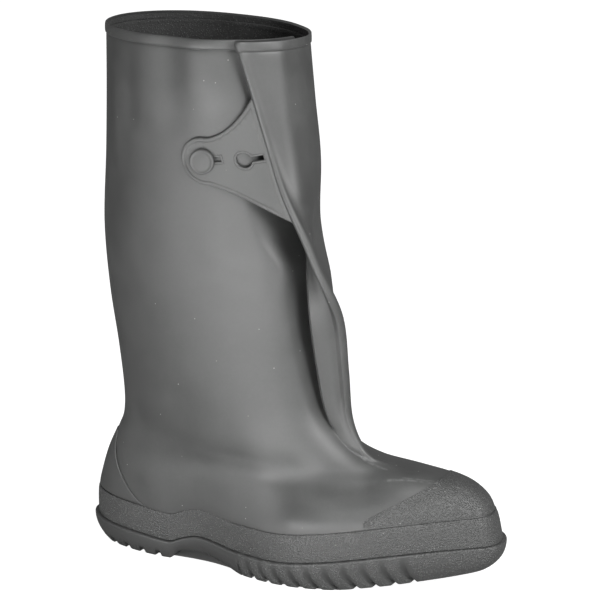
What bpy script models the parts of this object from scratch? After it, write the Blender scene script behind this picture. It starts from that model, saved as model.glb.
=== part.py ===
"""A right-foot moulded rubber overboot, standing empty on its sole.

Frame: +X to the toe, +Y to the inner side of the foot, +Z up, origin on the floor below the middle.
Sizes are in millimetres and degrees, and MM turns them into metres where a mesh is made.
"""
import math

import bmesh
import bpy
import numpy as np
from mathutils import Matrix, Vector

MM = 0.001

# Driving dimensions
SOLE_LENGTH = 330.0
HEEL_HALF = 44.0
BALL_HALF = 57.0
WALL = 2.2
GAP = 0.3
BAND_THICKNESS = 1.6
TOE_SWING = 21.0
SHAFT_OFFSET = 3.0
MIDDLE_OFFSET = 3.98
GROOVE_DEPTH = 4.0
HEM_STEP = 0.8
MERGE = 0.01

RUBBER = (0.075, 0.078, 0.075)
SATIN = 0.55
PEBBLED = 0.7

# Heights along the boot, a row of x and height for each place
# The ledge that carries the upper, the underside and the bed inside the sole
LEDGE = {
    "heel_back": (-165, 22),
    "heel_corner": (-148, 18.5),
    "heel_side": (-110, 16),
    "breast": (-87, 14),
    "arch_rise": (-75, 18.5),
    "arch": (-61, 22),
    "shank": (-26, 19),
    "joint": (2, 19),
    "ball": (45, 23),
    "toe_bend": (100, 30.5),
    "toe_side": (132, 34),
    "toe_tip": (165, 36),
}
UNDERSIDE = {
    "heel_tip": (-165, 6),
    "heel_bevel": (-148, 0),
    "breast_foot": (-87, 0),
    "breast_top": (-79, 7),
    "arch": (-60, 9),
    "shank": (-36, 4),
    "tread_start": (-20, 0),
    "ball": (46, 0),
    "toe_bend": (84, 3.5),
    "toe_side": (115, 8),
    "toe_tip": (165, 15),
}
BED = {
    "heel_back": (-165, 11),
    "breast": (-90, 11),
    "arch": (-60, 15.5),
    "shank": (-20, 11),
    "ball": (46, 10),
    "toe_bend": (100, 17),
    "toe_tip": (165, 26),
}

# Plan of the sole's lip, the widest outline of the boot; halves are measured from the centre line
LIP = {
    "back_x": -SOLE_LENGTH / 2,
    "front_x": SOLE_LENGTH / 2,
    "heel_half": HEEL_HALF,
    "ball_half": BALL_HALF,
    "outer_pinch": 8.5,
    "inner_pinch": 14,
    "outer_slope": 0,
    "outer_round": 1.8,
    "inner_round": 2.5,
    "heel_round": 2.4,
    "swing": 1,
}

# Sections of the upper's outer face from the ledge up to the collar, each a ring from back to front
# Outer slope is how far the outer side of the vamp falls in towards its crest, which lies to the inner side
# Swing is the share of the toe's inward swing, ledge_follow the share of the ledge's rise and fall
SECTION_COLUMNS = (
    "back_x", "back_z", "front_x", "front_z", "heel_half", "ball_half", "outer_pinch", "inner_pinch",
    "outer_slope", "outer_round", "inner_round", "heel_round", "swing", "ledge_follow",
)
SECTIONS = {
    "ledge": (-160, 21.4, 160, 36.5, 39, 52, 7.5, 13, 0, 1.8, 2.5, 2.4, 1, 1),
    "band": (-160, 42.6, 154.5, 57.6, 39, 51.2, 6.5, 11.5, 0, 1.8, 2.5, 2.4, 1, 1),
    "toe_rise": (-157.5, 56, 147.5, 69, 38.5, 50, 4.5, 8, 3.6, 1.85, 2.4, 2.3, 1, 0.8),
    "toe_crown": (-154, 68, 132, 78, 38, 49, 2.5, 5, 7, 1.9, 2.3, 2.3, 1, 0.6),
    "vamp": (-150, 80, 108, 84, 37.5, 47, 1, 3, 8, 1.95, 2.2, 2.2, 0.9, 0.4),
    "throat": (-145, 92, 78, 89.5, 38, 46, 0, 1, 6.5, 2, 2.1, 2.2, 0.8, 0.2),
    "instep": (-141, 104, 52, 101, 40, 45, 0, 0, 3, 2.1, 2.1, 2.1, 0.5, 0.1),
    "ankle": (-141, 124, 34, 124, 43, 45, 0, 0, 0.5, 2.1, 2.1, 2.1, 0, 0),
    "low_shaft": (-145, 160, 27, 160, 47, 47, 0, 0, 0, 2.1, 2.1, 2.1, 0, 0),
    "calf": (-152, 205, 25, 205, 51, 50, 0, 0, 0, 2.1, 2.1, 2.1, 0, 0),
    "mid_shaft": (-156, 255, 20, 255, 54, 52, 0, 0, 0, 2.1, 2.1, 2.1, 0, 0),
    "strap": (-154, 310, 13, 310, 55, 53, 0, 0, 0, 2.1, 2.1, 2.1, 0, 0),
    "high_shaft": (-153, 360, 6, 360, 56, 54, 0, 0, 0, 2.1, 2.1, 2.1, 0, 0),
    "hem": (-153, 401, 0, 401, 56, 54, 0, 0, 0, 2.1, 2.1, 2.1, 0, 0),
    "collar": (-153, 408, 0, 408, 56, 54, 0, 0, 0, 2.1, 2.1, 2.1, 0, 0),
}

# The gusset fold in the same sections: where its valley starts, how far it runs out to its ridge,
# its lean (90 stands straight out, 0 lies flat on the quarter), where it dies out, the gap in the valley
# (wider under the thick hem) and how much of the fold shows
# Places are arc lengths along the ring from the front centre, positive to the outer side
FOLD_COLUMNS = ("valley", "length", "lean", "merge", "gap", "amount")
FOLD = {
    "ledge": (24, 0, 110, -24, 1, 0),
    "band": (24, 0, 110, -24, 1, 0),
    "toe_rise": (22, 0, 110, -22, 1, 0),
    "toe_crown": (18, 0, 110, -20, 1, 0),
    "vamp": (14, 0, 115, -18, 1, 0),
    "throat": (12, 2, 118, -20, 1, 0.25),
    "instep": (11, 9, 116, -22, 1, 1),
    "ankle": (12, 15, 108, -26, 1, 1),
    "low_shaft": (15, 20, 106, -30, 1, 1),
    "calf": (21, 22, 106, -34, 1, 1),
    "mid_shaft": (19, 17, 62, -38, 1, 1),
    "strap": (15, 22, 8, -40, 1, 1),
    "high_shaft": (13, 32, 2, -42, 1, 1),
    "hem": (12, 40, 2, -42, 2.8, 1),
    "collar": (12, 41, 2, -42, 2.8, 1),
}


def smoothstep(low, high, value):
    t = np.clip((value - low) / (high - low), 0.0, 1.0)
    return t * t * (3 - 2 * t)


def hermite(here, there, slope_here, slope_there, t):
    """Point on the cubic between two values with the given slopes."""
    return (
        here * (1 + 2 * t) * (1 - t) ** 2 + slope_here * t * (1 - t) ** 2
        + there * t * t * (3 - 2 * t) - slope_there * t * t * (1 - t)
    )


def row_at(columns, rows, level):
    """Values between the rows of a table, on a smooth curve through them; level 1.5 is half past row 1."""
    values = np.array(list(rows.values()), dtype=float)
    last = len(values) - 1
    start = min(int(level), last - 1)
    here = values[start]
    there = values[start + 1]
    before = values[max(start - 1, 0)]
    after = values[min(start + 2, last)]
    mixed = hermite(here, there, (there - before) / 2, (after - here) / 2, level - start)
    return dict(zip(columns, mixed))


def height_at(rows, x):
    """Smooth line through a table of heights, level at each of its turning points."""
    stations = np.array(list(rows.values()), dtype=float)
    xs, zs = stations[:, 0], stations[:, 1]
    rises = np.diff(zs) / np.diff(xs)
    slopes = np.zeros_like(zs)
    slopes[0], slopes[-1] = rises[0], rises[-1]
    for i in range(1, len(xs) - 1):
        if rises[i - 1] * rises[i] > 0:
            slopes[i] = 2 * rises[i - 1] * rises[i] / (rises[i - 1] + rises[i])
    x = np.clip(x, xs[0], xs[-1])
    i = np.clip(np.searchsorted(xs, x, side="right") - 1, 0, len(xs) - 2)
    span = xs[i + 1] - xs[i]
    return hermite(zs[i], zs[i + 1], slopes[i] * span, slopes[i + 1] * span, (x - xs[i]) / span)


SWING_FROM = 20.0
SWING_TO = 150.0


def centre_line(x, swing):
    """The foot swings to the inner side towards the toe; the shaft stands a little to that side too."""
    foot = TOE_SWING * smoothstep(SWING_FROM, SWING_TO, x)
    return swing * foot + (1 - swing) * SHAFT_OFFSET - MIDDLE_OFFSET


# Places along a ring as shares of its length from the back
WIDEN_FROM = 0.2
WIDEN_TO = 0.6
WAIST_OUTER = 0.33
WAIST_INNER = 0.42
WAIST_SPREAD = 0.13
# Across the toe's tip the roundness of one side passes into that of the other
TIP_BLEND = 0.5


def plan_point(section, turn):
    """Plan of a ring at an angle, 0 at the front centre and a quarter turn on the outer side."""
    turn = np.asarray(turn, dtype=float)
    along = (1 + np.cos(turn)) / 2
    x = section["back_x"] + (section["front_x"] - section["back_x"]) * along
    outer = np.sin(turn) > 0
    outer_share = smoothstep(-TIP_BLEND, TIP_BLEND, np.sin(turn))
    widening = smoothstep(WIDEN_FROM, WIDEN_TO, along)
    half = section["heel_half"] + (section["ball_half"] - section["heel_half"]) * widening
    waist = np.where(outer, WAIST_OUTER, WAIST_INNER)
    pinch = np.where(outer, section["outer_pinch"], section["inner_pinch"])
    half = half - pinch * np.exp(-((along - waist) / WAIST_SPREAD) ** 2)
    half = half - np.where(outer, section["outer_slope"] * widening, 0.0)
    toe_round = section["inner_round"] + (section["outer_round"] - section["inner_round"]) * outer_share
    power = np.where(along > 0.5, toe_round, section["heel_round"])
    round_end = np.maximum(1 - np.abs(np.cos(turn)) ** power, 0.0) ** (1 / power)
    y = np.where(outer, -half, half) * round_end + centre_line(x, section["swing"])
    return x, y


class Ring:
    """One section of the upper: its plan, its height and the arc length along it."""

    SAMPLES = 720
    NORMAL_REACH = 1.5

    def __init__(self, level):
        self.section = row_at(SECTION_COLUMNS, SECTIONS, level)
        self.fold = row_at(FOLD_COLUMNS, FOLD, level)
        self.turns = np.linspace(-math.pi, math.pi, self.SAMPLES + 1)
        self.x, self.y = plan_point(self.section, self.turns)
        steps = np.hypot(np.diff(self.x), np.diff(self.y))
        arc = np.concatenate([[0.0], np.cumsum(steps)])
        self.arc = arc - np.interp(0.0, self.turns, arc)

    def height(self, x):
        section = self.section
        back_x, front_x = section["back_x"], section["front_x"]
        along = (x - back_x) / (front_x - back_x)
        line = section["back_z"] + (section["front_z"] - section["back_z"]) * along
        back_ledge = height_at(LEDGE, back_x)
        ledge_line = back_ledge + (height_at(LEDGE, front_x) - back_ledge) * along
        return line + section["ledge_follow"] * (height_at(LEDGE, x) - ledge_line)

    def at(self, arc, out=0.0):
        """Points at arc lengths along the ring, moved out from it in its own plane."""
        arc = np.asarray(arc, dtype=float)
        x = np.interp(arc, self.arc, self.x)
        y = np.interp(arc, self.arc, self.y)
        ahead, behind = arc + self.NORMAL_REACH, arc - self.NORMAL_REACH
        run_x = np.interp(ahead, self.arc, self.x) - np.interp(behind, self.arc, self.x)
        run_y = np.interp(ahead, self.arc, self.y) - np.interp(behind, self.arc, self.y)
        size = np.hypot(run_x, run_y)
        z = self.height(x)
        return np.stack([x - out * run_y / size, y + out * run_x / size, z], axis=-1)


RIDGE_WIDTH = 2 * WALL + 1.0
VALLEY_STEPS = 3
MIDDLE_STEPS = 2
RIDGE_STEPS = 5
RETURN_STEPS = 6
RETURN_PULL = 0.9
# A fold that lies flatter than this keeps its two layers side by side until they are past the valley
STANDING_LEAN = 90.0
FLAT_LEAN = 45.0
PAST_VALLEY = 4.0
QUARTER_STEPS = 46
ARCH_X = -70.0
ARCH_RUN = 32.0
ARCH_CROWDING = 0.12


def fold_path(fold):
    """The fold across one section: arc length along the ring and distance out from it."""
    lean = math.radians(fold["lean"])
    run = np.array([math.cos(lean), math.sin(lean)])
    side = np.array([-run[1], run[0]])
    points = []
    radius = fold["gap"] / 2
    for i in range(VALLEY_STEPS):
        bend = (math.pi - lean) * i / (VALLEY_STEPS - 1)
        points.append([fold["valley"] - radius * math.sin(bend), radius * (1 - math.cos(bend))])
    start = np.array(points[-1])
    for i in range(1, MIDDLE_STEPS + 1):
        points.append(start + run * fold["length"] * i / (MIDDLE_STEPS + 1))
    centre = start + run * fold["length"] + side * RIDGE_WIDTH / 2
    for i in range(RIDGE_STEPS):
        bend = math.pi * i / (RIDGE_STEPS - 1)
        points.append(centre + (run * math.sin(bend) - side * math.cos(bend)) * RIDGE_WIDTH / 2)
    near = np.array(points[-1])
    flatness = 1 - smoothstep(FLAT_LEAN, STANDING_LEAN, fold["lean"])
    carry = (fold["length"] + PAST_VALLEY) * flatness
    turning = near - run * carry
    far = np.array([fold["merge"], 0.0])
    gap = np.hypot(*(far - turning))
    pull = RETURN_PULL * gap
    inward = np.array([-1.0, 0.0])
    for i in range(1, RETURN_STEPS + 1):
        travel = (carry + gap) * i / (RETURN_STEPS + 1)
        if travel < carry:
            points.append(near - run * travel)
        else:
            points.append(hermite(turning, far, -run * pull, inward * pull, (travel - carry) / gap))
    folded = np.array(points)
    flat = np.zeros_like(folded)
    flat[:, 0] = np.linspace(fold["valley"], fold["merge"], len(folded) + 1)[:-1]
    return flat + (folded - flat) * np.clip(fold["amount"], 0.0, 1.0)


def spread_turns(section, start, end, steps):
    """Angles along a ring from start to end, closest where it bends most and by the arch."""
    fine = np.linspace(start, end, Ring.SAMPLES + 1)
    x, y = plan_point(section, fine)
    run_x, run_y = np.diff(x), np.diff(y)
    run = np.hypot(run_x, run_y)
    bend = np.abs(np.gradient(np.unwrap(np.arctan2(run_y, run_x))))
    by_arch = np.exp(-((x[1:] - ARCH_X) / ARCH_RUN) ** 2)
    filled = np.cumsum(np.sqrt(bend * run) + ARCH_CROWDING * run * by_arch)
    return np.interp(np.linspace(0, filled[-1], steps + 1), np.concatenate([[0.0], filled]), fine)


def ring_points(level):
    """Outer face of the upper at one section, over the fold and then round by the inner side."""
    ring = Ring(level)
    fold = fold_path(ring.fold)
    front = ring.at(fold[:, 0], fold[:, 1])
    start = np.interp(ring.fold["merge"], ring.arc, ring.turns)
    end = np.interp(ring.fold["valley"], ring.arc, ring.turns) - 2 * math.pi
    turns = spread_turns(ring.section, start, end, QUARTER_STEPS)[:-1]
    x, y = plan_point(ring.section, turns)
    rest = np.stack([x, y, ring.height(x)], axis=-1)
    return np.concatenate([front, rest])


NORMAL_STEP = 0.01


def foot_point(level, turn, out):
    """Point of the foot below the fold, moved straight out from the upper's outer face."""
    def bare(at_level, at_turn):
        ring = Ring(at_level)
        x, y = plan_point(ring.section, at_turn)
        return np.array([x, y, ring.height(x)], dtype=float)

    up = bare(level + NORMAL_STEP, turn) - bare(level - NORMAL_STEP, turn)
    round_foot = bare(level, turn + NORMAL_STEP) - bare(level, turn - NORMAL_STEP)
    normal = np.cross(up, round_foot)
    return bare(level, turn) + normal / np.linalg.norm(normal) * out


SHARP_ANGLE = 35.0


def finish_object(name, builder, roughness):
    """Makes the node of one piece, with its own rubber material."""
    bmesh.ops.recalc_face_normals(builder, faces=builder.faces)
    mesh = bpy.data.meshes.new(name)
    builder.to_mesh(mesh)
    builder.free()
    piece = bpy.data.objects.new(name, mesh)
    bpy.context.collection.objects.link(piece)
    material = bpy.data.materials.new(name + "_rubber")
    material.use_nodes = True
    shader = material.node_tree.nodes["Principled BSDF"]
    shader.inputs["Base Color"].default_value = (*RUBBER, 1.0)
    shader.inputs["Roughness"].default_value = roughness
    shader.inputs["Metallic"].default_value = 0.0
    mesh.materials.append(material)
    mesh.shade_smooth()
    mesh.set_sharp_from_angle(angle=math.radians(SHARP_ANGLE))
    return piece


def add_rows(builder, rows):
    return [[builder.verts.new(Vector(point) * MM) for point in row] for row in rows]


def join_rows(builder, low, high, closed):
    """Faces between two rows of vertices."""
    count = len(low)
    for i in range(count if closed else count - 1):
        k = (i + 1) % count
        builder.faces.new((low[i], low[k], high[k], high[i]))


def loft(builder, rows, closed):
    grid = add_rows(builder, rows)
    for low, high in zip(grid[:-1], grid[1:]):
        join_rows(builder, low, high, closed)
    return grid


UPPER_LEVELS = [0, 1, 1.5, 2, 2.5, 3, 3.5, 4, 5, 5.5, 6, 6.5, 7, 8, 9, 9.5, 10, 10.25, 10.5, 11, 12]
HEM_LEVEL = 13
HEM_FOOT = 0.02
COLLAR_LEVEL = 14


def make_upper():
    levels = UPPER_LEVELS + [HEM_LEVEL - HEM_FOOT, HEM_LEVEL, COLLAR_LEVEL]
    builder = bmesh.new()
    grid = loft(builder, [ring_points(level) for level in levels], closed=True)
    bmesh.ops.recalc_face_normals(builder, faces=builder.faces)
    builder.normal_update()
    for row in grid[-2:]:
        for vertex in row:
            vertex.co += vertex.normal * HEM_STEP * MM
    upper = finish_object("upper", builder, SATIN)
    wall = upper.modifiers.new("wall", "SOLIDIFY")
    wall.thickness = WALL * MM
    wall.offset = -1.0
    wall.use_even_offset = False
    wall.use_rim = True
    return upper


BAND_LEVELS = [0, 1]
BAND_CHAMFER = 0.7
LEDGE_CLEAR = 0.6


def make_foxing_band():
    """The band round the foot follows the upper's own lowest rings, just clear of it."""
    builder = bmesh.new()
    loft(builder, [ring_points(level) for level in BAND_LEVELS], closed=True)
    bmesh.ops.recalc_face_normals(builder, faces=builder.faces)
    builder.normal_update()
    count = len(ring_points(0))
    foot = [(vertex.co.copy(), vertex.normal.copy()) for vertex in builder.verts]
    builder.free()

    def loop(row, out, drop=0.0):
        down = Vector((0.0, 0.0, drop))
        return [co / MM + normal * out - down for co, normal in foot[row * count:(row + 1) * count]]

    def foot_loop(out):
        points = loop(0, out)
        for point in points:
            point.z = float(height_at(LEDGE, point.x)) + LEDGE_CLEAR
        return points

    outer = GAP + BAND_THICKNESS
    top = len(BAND_LEVELS) - 1
    section = [foot_loop(GAP), loop(top, GAP), loop(top, outer - BAND_CHAMFER)]
    section += [loop(top, outer, BAND_CHAMFER), foot_loop(outer)]
    builder = bmesh.new()
    grid = loft(builder, section, closed=True)
    join_rows(builder, grid[-1], grid[0], closed=True)
    return finish_object("foxing_band", builder, PEBBLED)


def make_patch(name, rows, roughness):
    """A closed overlay between two faces; each row holds pairs of an inner and an outer point."""
    builder = bmesh.new()
    inner = loft(builder, [[pair[0] for pair in row] for row in rows], closed=False)
    outer = loft(builder, [[pair[1] for pair in row] for row in rows], closed=False)
    join_rows(builder, inner[0], outer[0], closed=False)
    join_rows(builder, inner[-1], outer[-1], closed=False)
    for side in (0, -1):
        join_rows(builder, [row[side] for row in inner], [row[side] for row in outer], closed=False)
    return finish_object(name, builder, roughness)


OVERLAY_FACES = (0.7, 1.6)
CAP_FOOT = 1.06
CAP_TOP = 3.65
CAP_SIDE_TURN = 60.0
CAP_MIN_RISE = 0.12
CAP_BULGE = 0.8
CAP_COLUMNS = 18
CAP_ROWS = 6


def make_toe_cap():
    """The cap's rear edge climbs from the band on each side to the top of the toe."""
    side = math.radians(CAP_SIDE_TURN)
    turns = spread_turns(Ring(CAP_FOOT).section, -side, side, CAP_COLUMNS)
    rows = []
    for i in range(CAP_ROWS + 1):
        row = []
        for turn in turns:
            bulge = max(math.cos(turn / side * math.pi / 2), 0.0) ** CAP_BULGE
            rise = CAP_MIN_RISE + (1 - CAP_MIN_RISE) * bulge
            level = CAP_FOOT + (CAP_TOP - CAP_FOOT) * rise * i / CAP_ROWS
            row.append([foot_point(level, turn, out) for out in OVERLAY_FACES])
        rows.append(row)
    return make_patch("toe_cap", rows, PEBBLED)


COUNTER_LEVELS = (1.06, 1.5, 2, 2.5, 3, 3.5, 4, 4.75)
COUNTER_FOOT_TURN = 48.0
COUNTER_TOP_TURN = 16.0
COUNTER_TAPER = 0.7
COUNTER_COLUMNS = 15


def make_heel_counter():
    """The counter narrows from the band up to a blunt top at the back of the ankle."""
    foot, top = COUNTER_LEVELS[0], COUNTER_LEVELS[-1]
    rows = []
    for level in COUNTER_LEVELS:
        climb = ((level - foot) / (top - foot)) ** COUNTER_TAPER
        half_turn = math.radians(COUNTER_FOOT_TURN + (COUNTER_TOP_TURN - COUNTER_FOOT_TURN) * climb)
        section = Ring(level).section
        turns = spread_turns(section, math.pi - half_turn, math.pi + half_turn, COUNTER_COLUMNS)
        rows.append([[foot_point(level, turn, out) for out in OVERLAY_FACES] for turn in turns])
    return make_patch("heel_counter", rows, SATIN)


# Tread: rows of lugs across the heel and the forefoot
TREAD_COLUMNS = ("first_x", "last_x", "rows", "pitch", "lug", "side_rib")
TREAD = {
    "heel": (-154.3, -87, 5, 15.0, 10.6, 0),
    "forefoot": (-20, 112, 10, 13.2, 9.0, 1),
}
TREAD_RIBS = {name: dict(zip(TREAD_COLUMNS, row))["side_rib"] for name, row in TREAD.items()}
GROOVE_SLOPE = 0.8
WAIST_STATIONS = (-84, -79.5, -75, -68, -60, -42, -20.8)
HEEL_END_STEPS = 5
TOE_END_STEPS = 7
# Cuts across the tread as shares of the half-width: the groove beside the edge lugs and the split in a row
EDGE_GROOVE = (0.60, 0.66, 0.72)
ROW_SPLIT = (0.14, 0.20, 0.26)
# Rounded side of the sole from the tread up to the lip: shares of the height, the inset and the rib
SIDE_STEPS = {"wall": (0.30, 0.38, 0.8), "shoulder": (0.68, 0.08, 0.2)}
SIDE_INSET = {
    "heel_back": (-165, 9),
    "heel_side": (-120, 6),
    "breast": (-85, 4),
    "joint": (-10, 6.5),
    "ball": (40, 9),
    "toe_tip": (165, 12),
}
RIB_DEPTH = 3.0
RIM_INSET = 10.0
BED_INSET = 11.5
LIP_ROUND = 0.9


def lip_turn(x):
    return math.acos(np.clip(2 * x / SOLE_LENGTH, -1.0, 1.0))


def tread_columns():
    """Cuts along the sole from heel to toe: the angle on the outline, and what is cut there."""
    columns = []

    def add(turn, zone="plain", cut=False, split=False):
        columns.append({"turn": turn, "zone": zone, "cut": cut, "split": split})

    for name, row in TREAD.items():
        tread = dict(zip(TREAD_COLUMNS, row))
        first_turn = lip_turn(tread["first_x"])
        if name == "heel":
            for i in range(HEEL_END_STEPS):
                add(math.pi + (first_turn - math.pi) * i / HEEL_END_STEPS)
        else:
            for x in WAIST_STATIONS:
                add(lip_turn(x))
        for i in range(tread["rows"]):
            start = tread["first_x"] + i * tread["pitch"]
            split = name == "forefoot" and i % 2 == 0
            add(lip_turn(start), name, split=split)
            add(lip_turn(min(start + tread["lug"], tread["last_x"])), name, split=split)
            if i < tread["rows"] - 1 or name == "forefoot":
                add(lip_turn(start + tread["lug"] + GROOVE_SLOPE), name, cut=True)
                add(lip_turn(start + tread["pitch"] - GROOVE_SLOPE), name, cut=True)
    toe_turn = lip_turn(tread["first_x"] + tread["rows"] * tread["pitch"])
    for i in range(TOE_END_STEPS + 1):
        add(toe_turn * (1 - i / TOE_END_STEPS))
    return columns


END_PULL = 5


def inset_turn(turn, inset):
    """Angle on the inset outline that keeps a cut square across the boot, except at the rounded ends."""
    half = SOLE_LENGTH / 2
    cosine = math.cos(turn)
    return math.acos(np.clip((half * cosine - inset * cosine ** END_PULL) / (half - inset), -1.0, 1.0))


def lip_inset(inset):
    """The lip's outline moved in by the same distance all round."""
    section = dict(LIP)
    section["back_x"] += inset
    section["front_x"] -= inset
    section["heel_half"] -= inset
    section["ball_half"] -= inset
    return section


def sole_loop(column):
    """Closed cross-section of the sole at one cut: across the tread, up one side, over the bed and down."""
    turn = column["turn"]
    lip_x = SOLE_LENGTH / 2 * math.cos(turn)
    inset = float(height_at(SIDE_INSET, lip_x))
    ground = float(height_at(UNDERSIDE, lip_x))
    rib = RIB_DEPTH if column["cut"] else 0.0
    deep = GROOVE_DEPTH if column["cut"] else 0.0

    def side_point(side, in_by, height, groove=0.0):
        x, y = plan_point(lip_inset(in_by), side * inset_turn(turn, in_by))
        return np.array([x, y + side * groove, height(float(x))], dtype=float)

    def ledge(x):
        return float(height_at(LEDGE, x))

    def side_points(side):
        points = [side_point(side, inset, lambda x: ground + deep, rib)]
        for share, keep, rib_share in SIDE_STEPS.values():
            rib_left = rib * rib_share * TREAD_RIBS.get(column["zone"], 0)
            step = side_point(side, inset * keep, lambda x: ground + (ledge(x) - ground) * share, rib_left)
            points.append(step)
        points.append(side_point(side, 0.0, lambda x: ledge(x) - LIP_ROUND))
        points.append(side_point(side, LIP_ROUND, ledge))
        points.append(side_point(side, RIM_INSET, ledge))
        points.append(side_point(side, BED_INSET, lambda x: float(height_at(BED, x))))
        return points

    outer = side_points(1)
    inner = side_points(-1)
    centre = (outer[0] + inner[0]) / 2
    bottom = []
    shares = sorted([-s for s in EDGE_GROOVE + ROW_SPLIT]) + sorted(EDGE_GROOVE + ROW_SPLIT)
    for share in shares:
        in_edge = abs(share) == EDGE_GROOVE[1] and column["zone"] != "plain"
        in_split = abs(share) == ROW_SPLIT[1] and column["split"]
        low = centre + (inner[0] - centre) * share
        depth = GROOVE_DEPTH if column["cut"] or in_edge or in_split else 0.0
        bottom.append(np.array([low[0], low[1], ground + depth]))
    return [outer[0]] + bottom + inner + outer[:0:-1]


def make_outsole():
    builder = bmesh.new()
    loft(builder, [sole_loop(column) for column in tread_columns()], closed=True)
    bmesh.ops.remove_doubles(builder, verts=builder.verts, dist=MERGE * MM)
    return finish_object("outsole", builder, PEBBLED)


# The strap's flat pattern: arc length along the shaft and height
STRAP_THICKNESS = 2.2
STRAP_CLEAR = 0.7
STRAP_ROOT_LOW = 276.0
STRAP_ROOT_HIGH = 367.0
STRAP_END = (88.5, 318.0)
STRAP_END_RADIUS = 17.5
STRAP_END_FROM = 100.0
STRAP_END_TO = -98.0
STRAP_NECK = (66.0, 339.0)
STRAP_WAIST = (56.5, 292.5)
BUTTON_PLACE = (89.5, 318.0)
KEYHOLES = {"fastened": BUTTON_PLACE, "spare": (59.0, 320.5)}
KEYHOLE_RADIUS = 5.5
SLOT_HALF = 1.7
SLOT_END = 14.0
SLOT_LEAN = 170.0
ROOT_STEPS = 9
EDGE_STEPS = 6
ARC_STEPS = 12
LIFT_RUN = 34.0
# Cuts that let the flat pattern bend round the shaft: first and last place and spacing
BEND_CUTS = {"along": (32.0, 106.0, 11.0), "up": (280.0, 366.0, 22.0)}
SHAFT_FOOT = 7.0
LEVEL_SAMPLES = 281


def shaft_ring(z):
    """Ring of the shaft at a height."""
    levels = np.linspace(SHAFT_FOOT, COLLAR_LEVEL, LEVEL_SAMPLES)
    heights = [row_at(SECTION_COLUMNS, SECTIONS, level)["front_z"] for level in levels]
    return Ring(float(np.interp(z, heights, levels)))


def ridge_nose(z):
    """The tip of the fold's ridge at a height: arc length and distance out."""
    path = fold_path(shaft_ring(z).fold)
    tip = path[np.argmax(path[:VALLEY_STEPS + MIDDLE_STEPS + RIDGE_STEPS, 0])]
    return tip[0], tip[1]


def curve(start, control, end, steps):
    """Points on a plain bent line from start up to, but not at, its end."""
    start, control, end = np.array(start), np.array(control), np.array(end)
    shares = [i / steps for i in range(steps)]
    return [start * (1 - t) ** 2 + control * 2 * t * (1 - t) + end * t * t for t in shares]


def strap_outline():
    heights = np.linspace(STRAP_ROOT_LOW, STRAP_ROOT_HIGH, ROOT_STEPS)
    root = [np.array([ridge_nose(z)[0] + GAP, z]) for z in heights]
    end = []
    for angle in np.radians(np.linspace(STRAP_END_FROM, STRAP_END_TO, ARC_STEPS + 1)):
        end.append(np.array(STRAP_END) + STRAP_END_RADIUS * np.array([math.cos(angle), math.sin(angle)]))
    upper_edge = curve(root[-1], STRAP_NECK, end[0], EDGE_STEPS)
    lower_edge = curve(end[-1], STRAP_WAIST, root[0], EDGE_STEPS)
    return root[:-1] + upper_edge + end[:-1] + lower_edge


def keyhole_outline(centre):
    lean = math.radians(SLOT_LEAN)
    mouth = math.asin(SLOT_HALF / KEYHOLE_RADIUS)
    points = []
    for i in range(ARC_STEPS + 1):
        angle = lean + mouth + (2 * math.pi - 2 * mouth) * i / ARC_STEPS
        points.append([KEYHOLE_RADIUS * math.cos(angle), KEYHOLE_RADIUS * math.sin(angle)])
    along = np.array([math.cos(lean), math.sin(lean)])
    across = np.array([-along[1], along[0]])
    points.append(along * SLOT_END - across * SLOT_HALF)
    points.append(along * SLOT_END + across * SLOT_HALF)
    return [np.array(centre) + np.array(point) for point in points]


def strap_lift(arc, z):
    """How far the strap's inner face stands off the quarter: it climbs to the ridge at its root."""
    nose_arc, nose_out = ridge_nose(z)
    at_root = max(nose_out - STRAP_THICKNESS / 2, STRAP_CLEAR)
    return STRAP_CLEAR + (at_root - STRAP_CLEAR) * (1 - smoothstep(0.0, LIFT_RUN, arc - nose_arc))


def make_strap():
    builder = bmesh.new()
    edges = []
    for outline in [strap_outline()] + [keyhole_outline(place) for place in KEYHOLES.values()]:
        loop = [builder.verts.new((point[0], point[1], 0.0)) for point in outline]
        for i, vertex in enumerate(loop):
            edges.append(builder.edges.new((vertex, loop[(i + 1) % len(loop)])))
    bmesh.ops.triangle_fill(builder, use_beauty=True, use_dissolve=False, edges=edges)
    for axis, (low, high, spacing) in enumerate(BEND_CUTS.values()):
        normal = Vector((1.0 - axis, float(axis), 0.0))
        for place in np.arange(low, high, spacing):
            geometry = list(builder.verts) + list(builder.edges) + list(builder.faces)
            bmesh.ops.bisect_plane(
                builder, geom=geometry, plane_co=normal * place, plane_no=normal, dist=MERGE,
            )
    grown = bmesh.ops.extrude_face_region(builder, geom=list(builder.faces), use_keep_orig=True)
    for item in grown["geom"]:
        if isinstance(item, bmesh.types.BMVert):
            item.co.z = STRAP_THICKNESS
    rings = {}
    for vertex in builder.verts:
        arc, z, out = vertex.co
        key = round(z, 2)
        if key not in rings:
            rings[key] = shaft_ring(z)
        vertex.co = Vector(rings[key].at(arc, out + strap_lift(arc, z))) * MM
    return finish_object("strap", builder, SATIN)


# Button: a stud turned about its own axis, radius and height above the quarter
BUTTON_PROFILE = {
    "foot": (4.2, 0.0),
    "neck": (4.2, 3.1),
    "under_head": (8.9, 3.1),
    "edge_low": (9.5, 3.7),
    "edge_high": (9.5, 4.7),
    "rim_outer": (8.8, 5.6),
    "rim_inner": (7.4, 5.8),
    "dish": (6.4, 5.3),
}
BUTTON_DOME = 5.7
BUTTON_STEPS = 18


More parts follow.
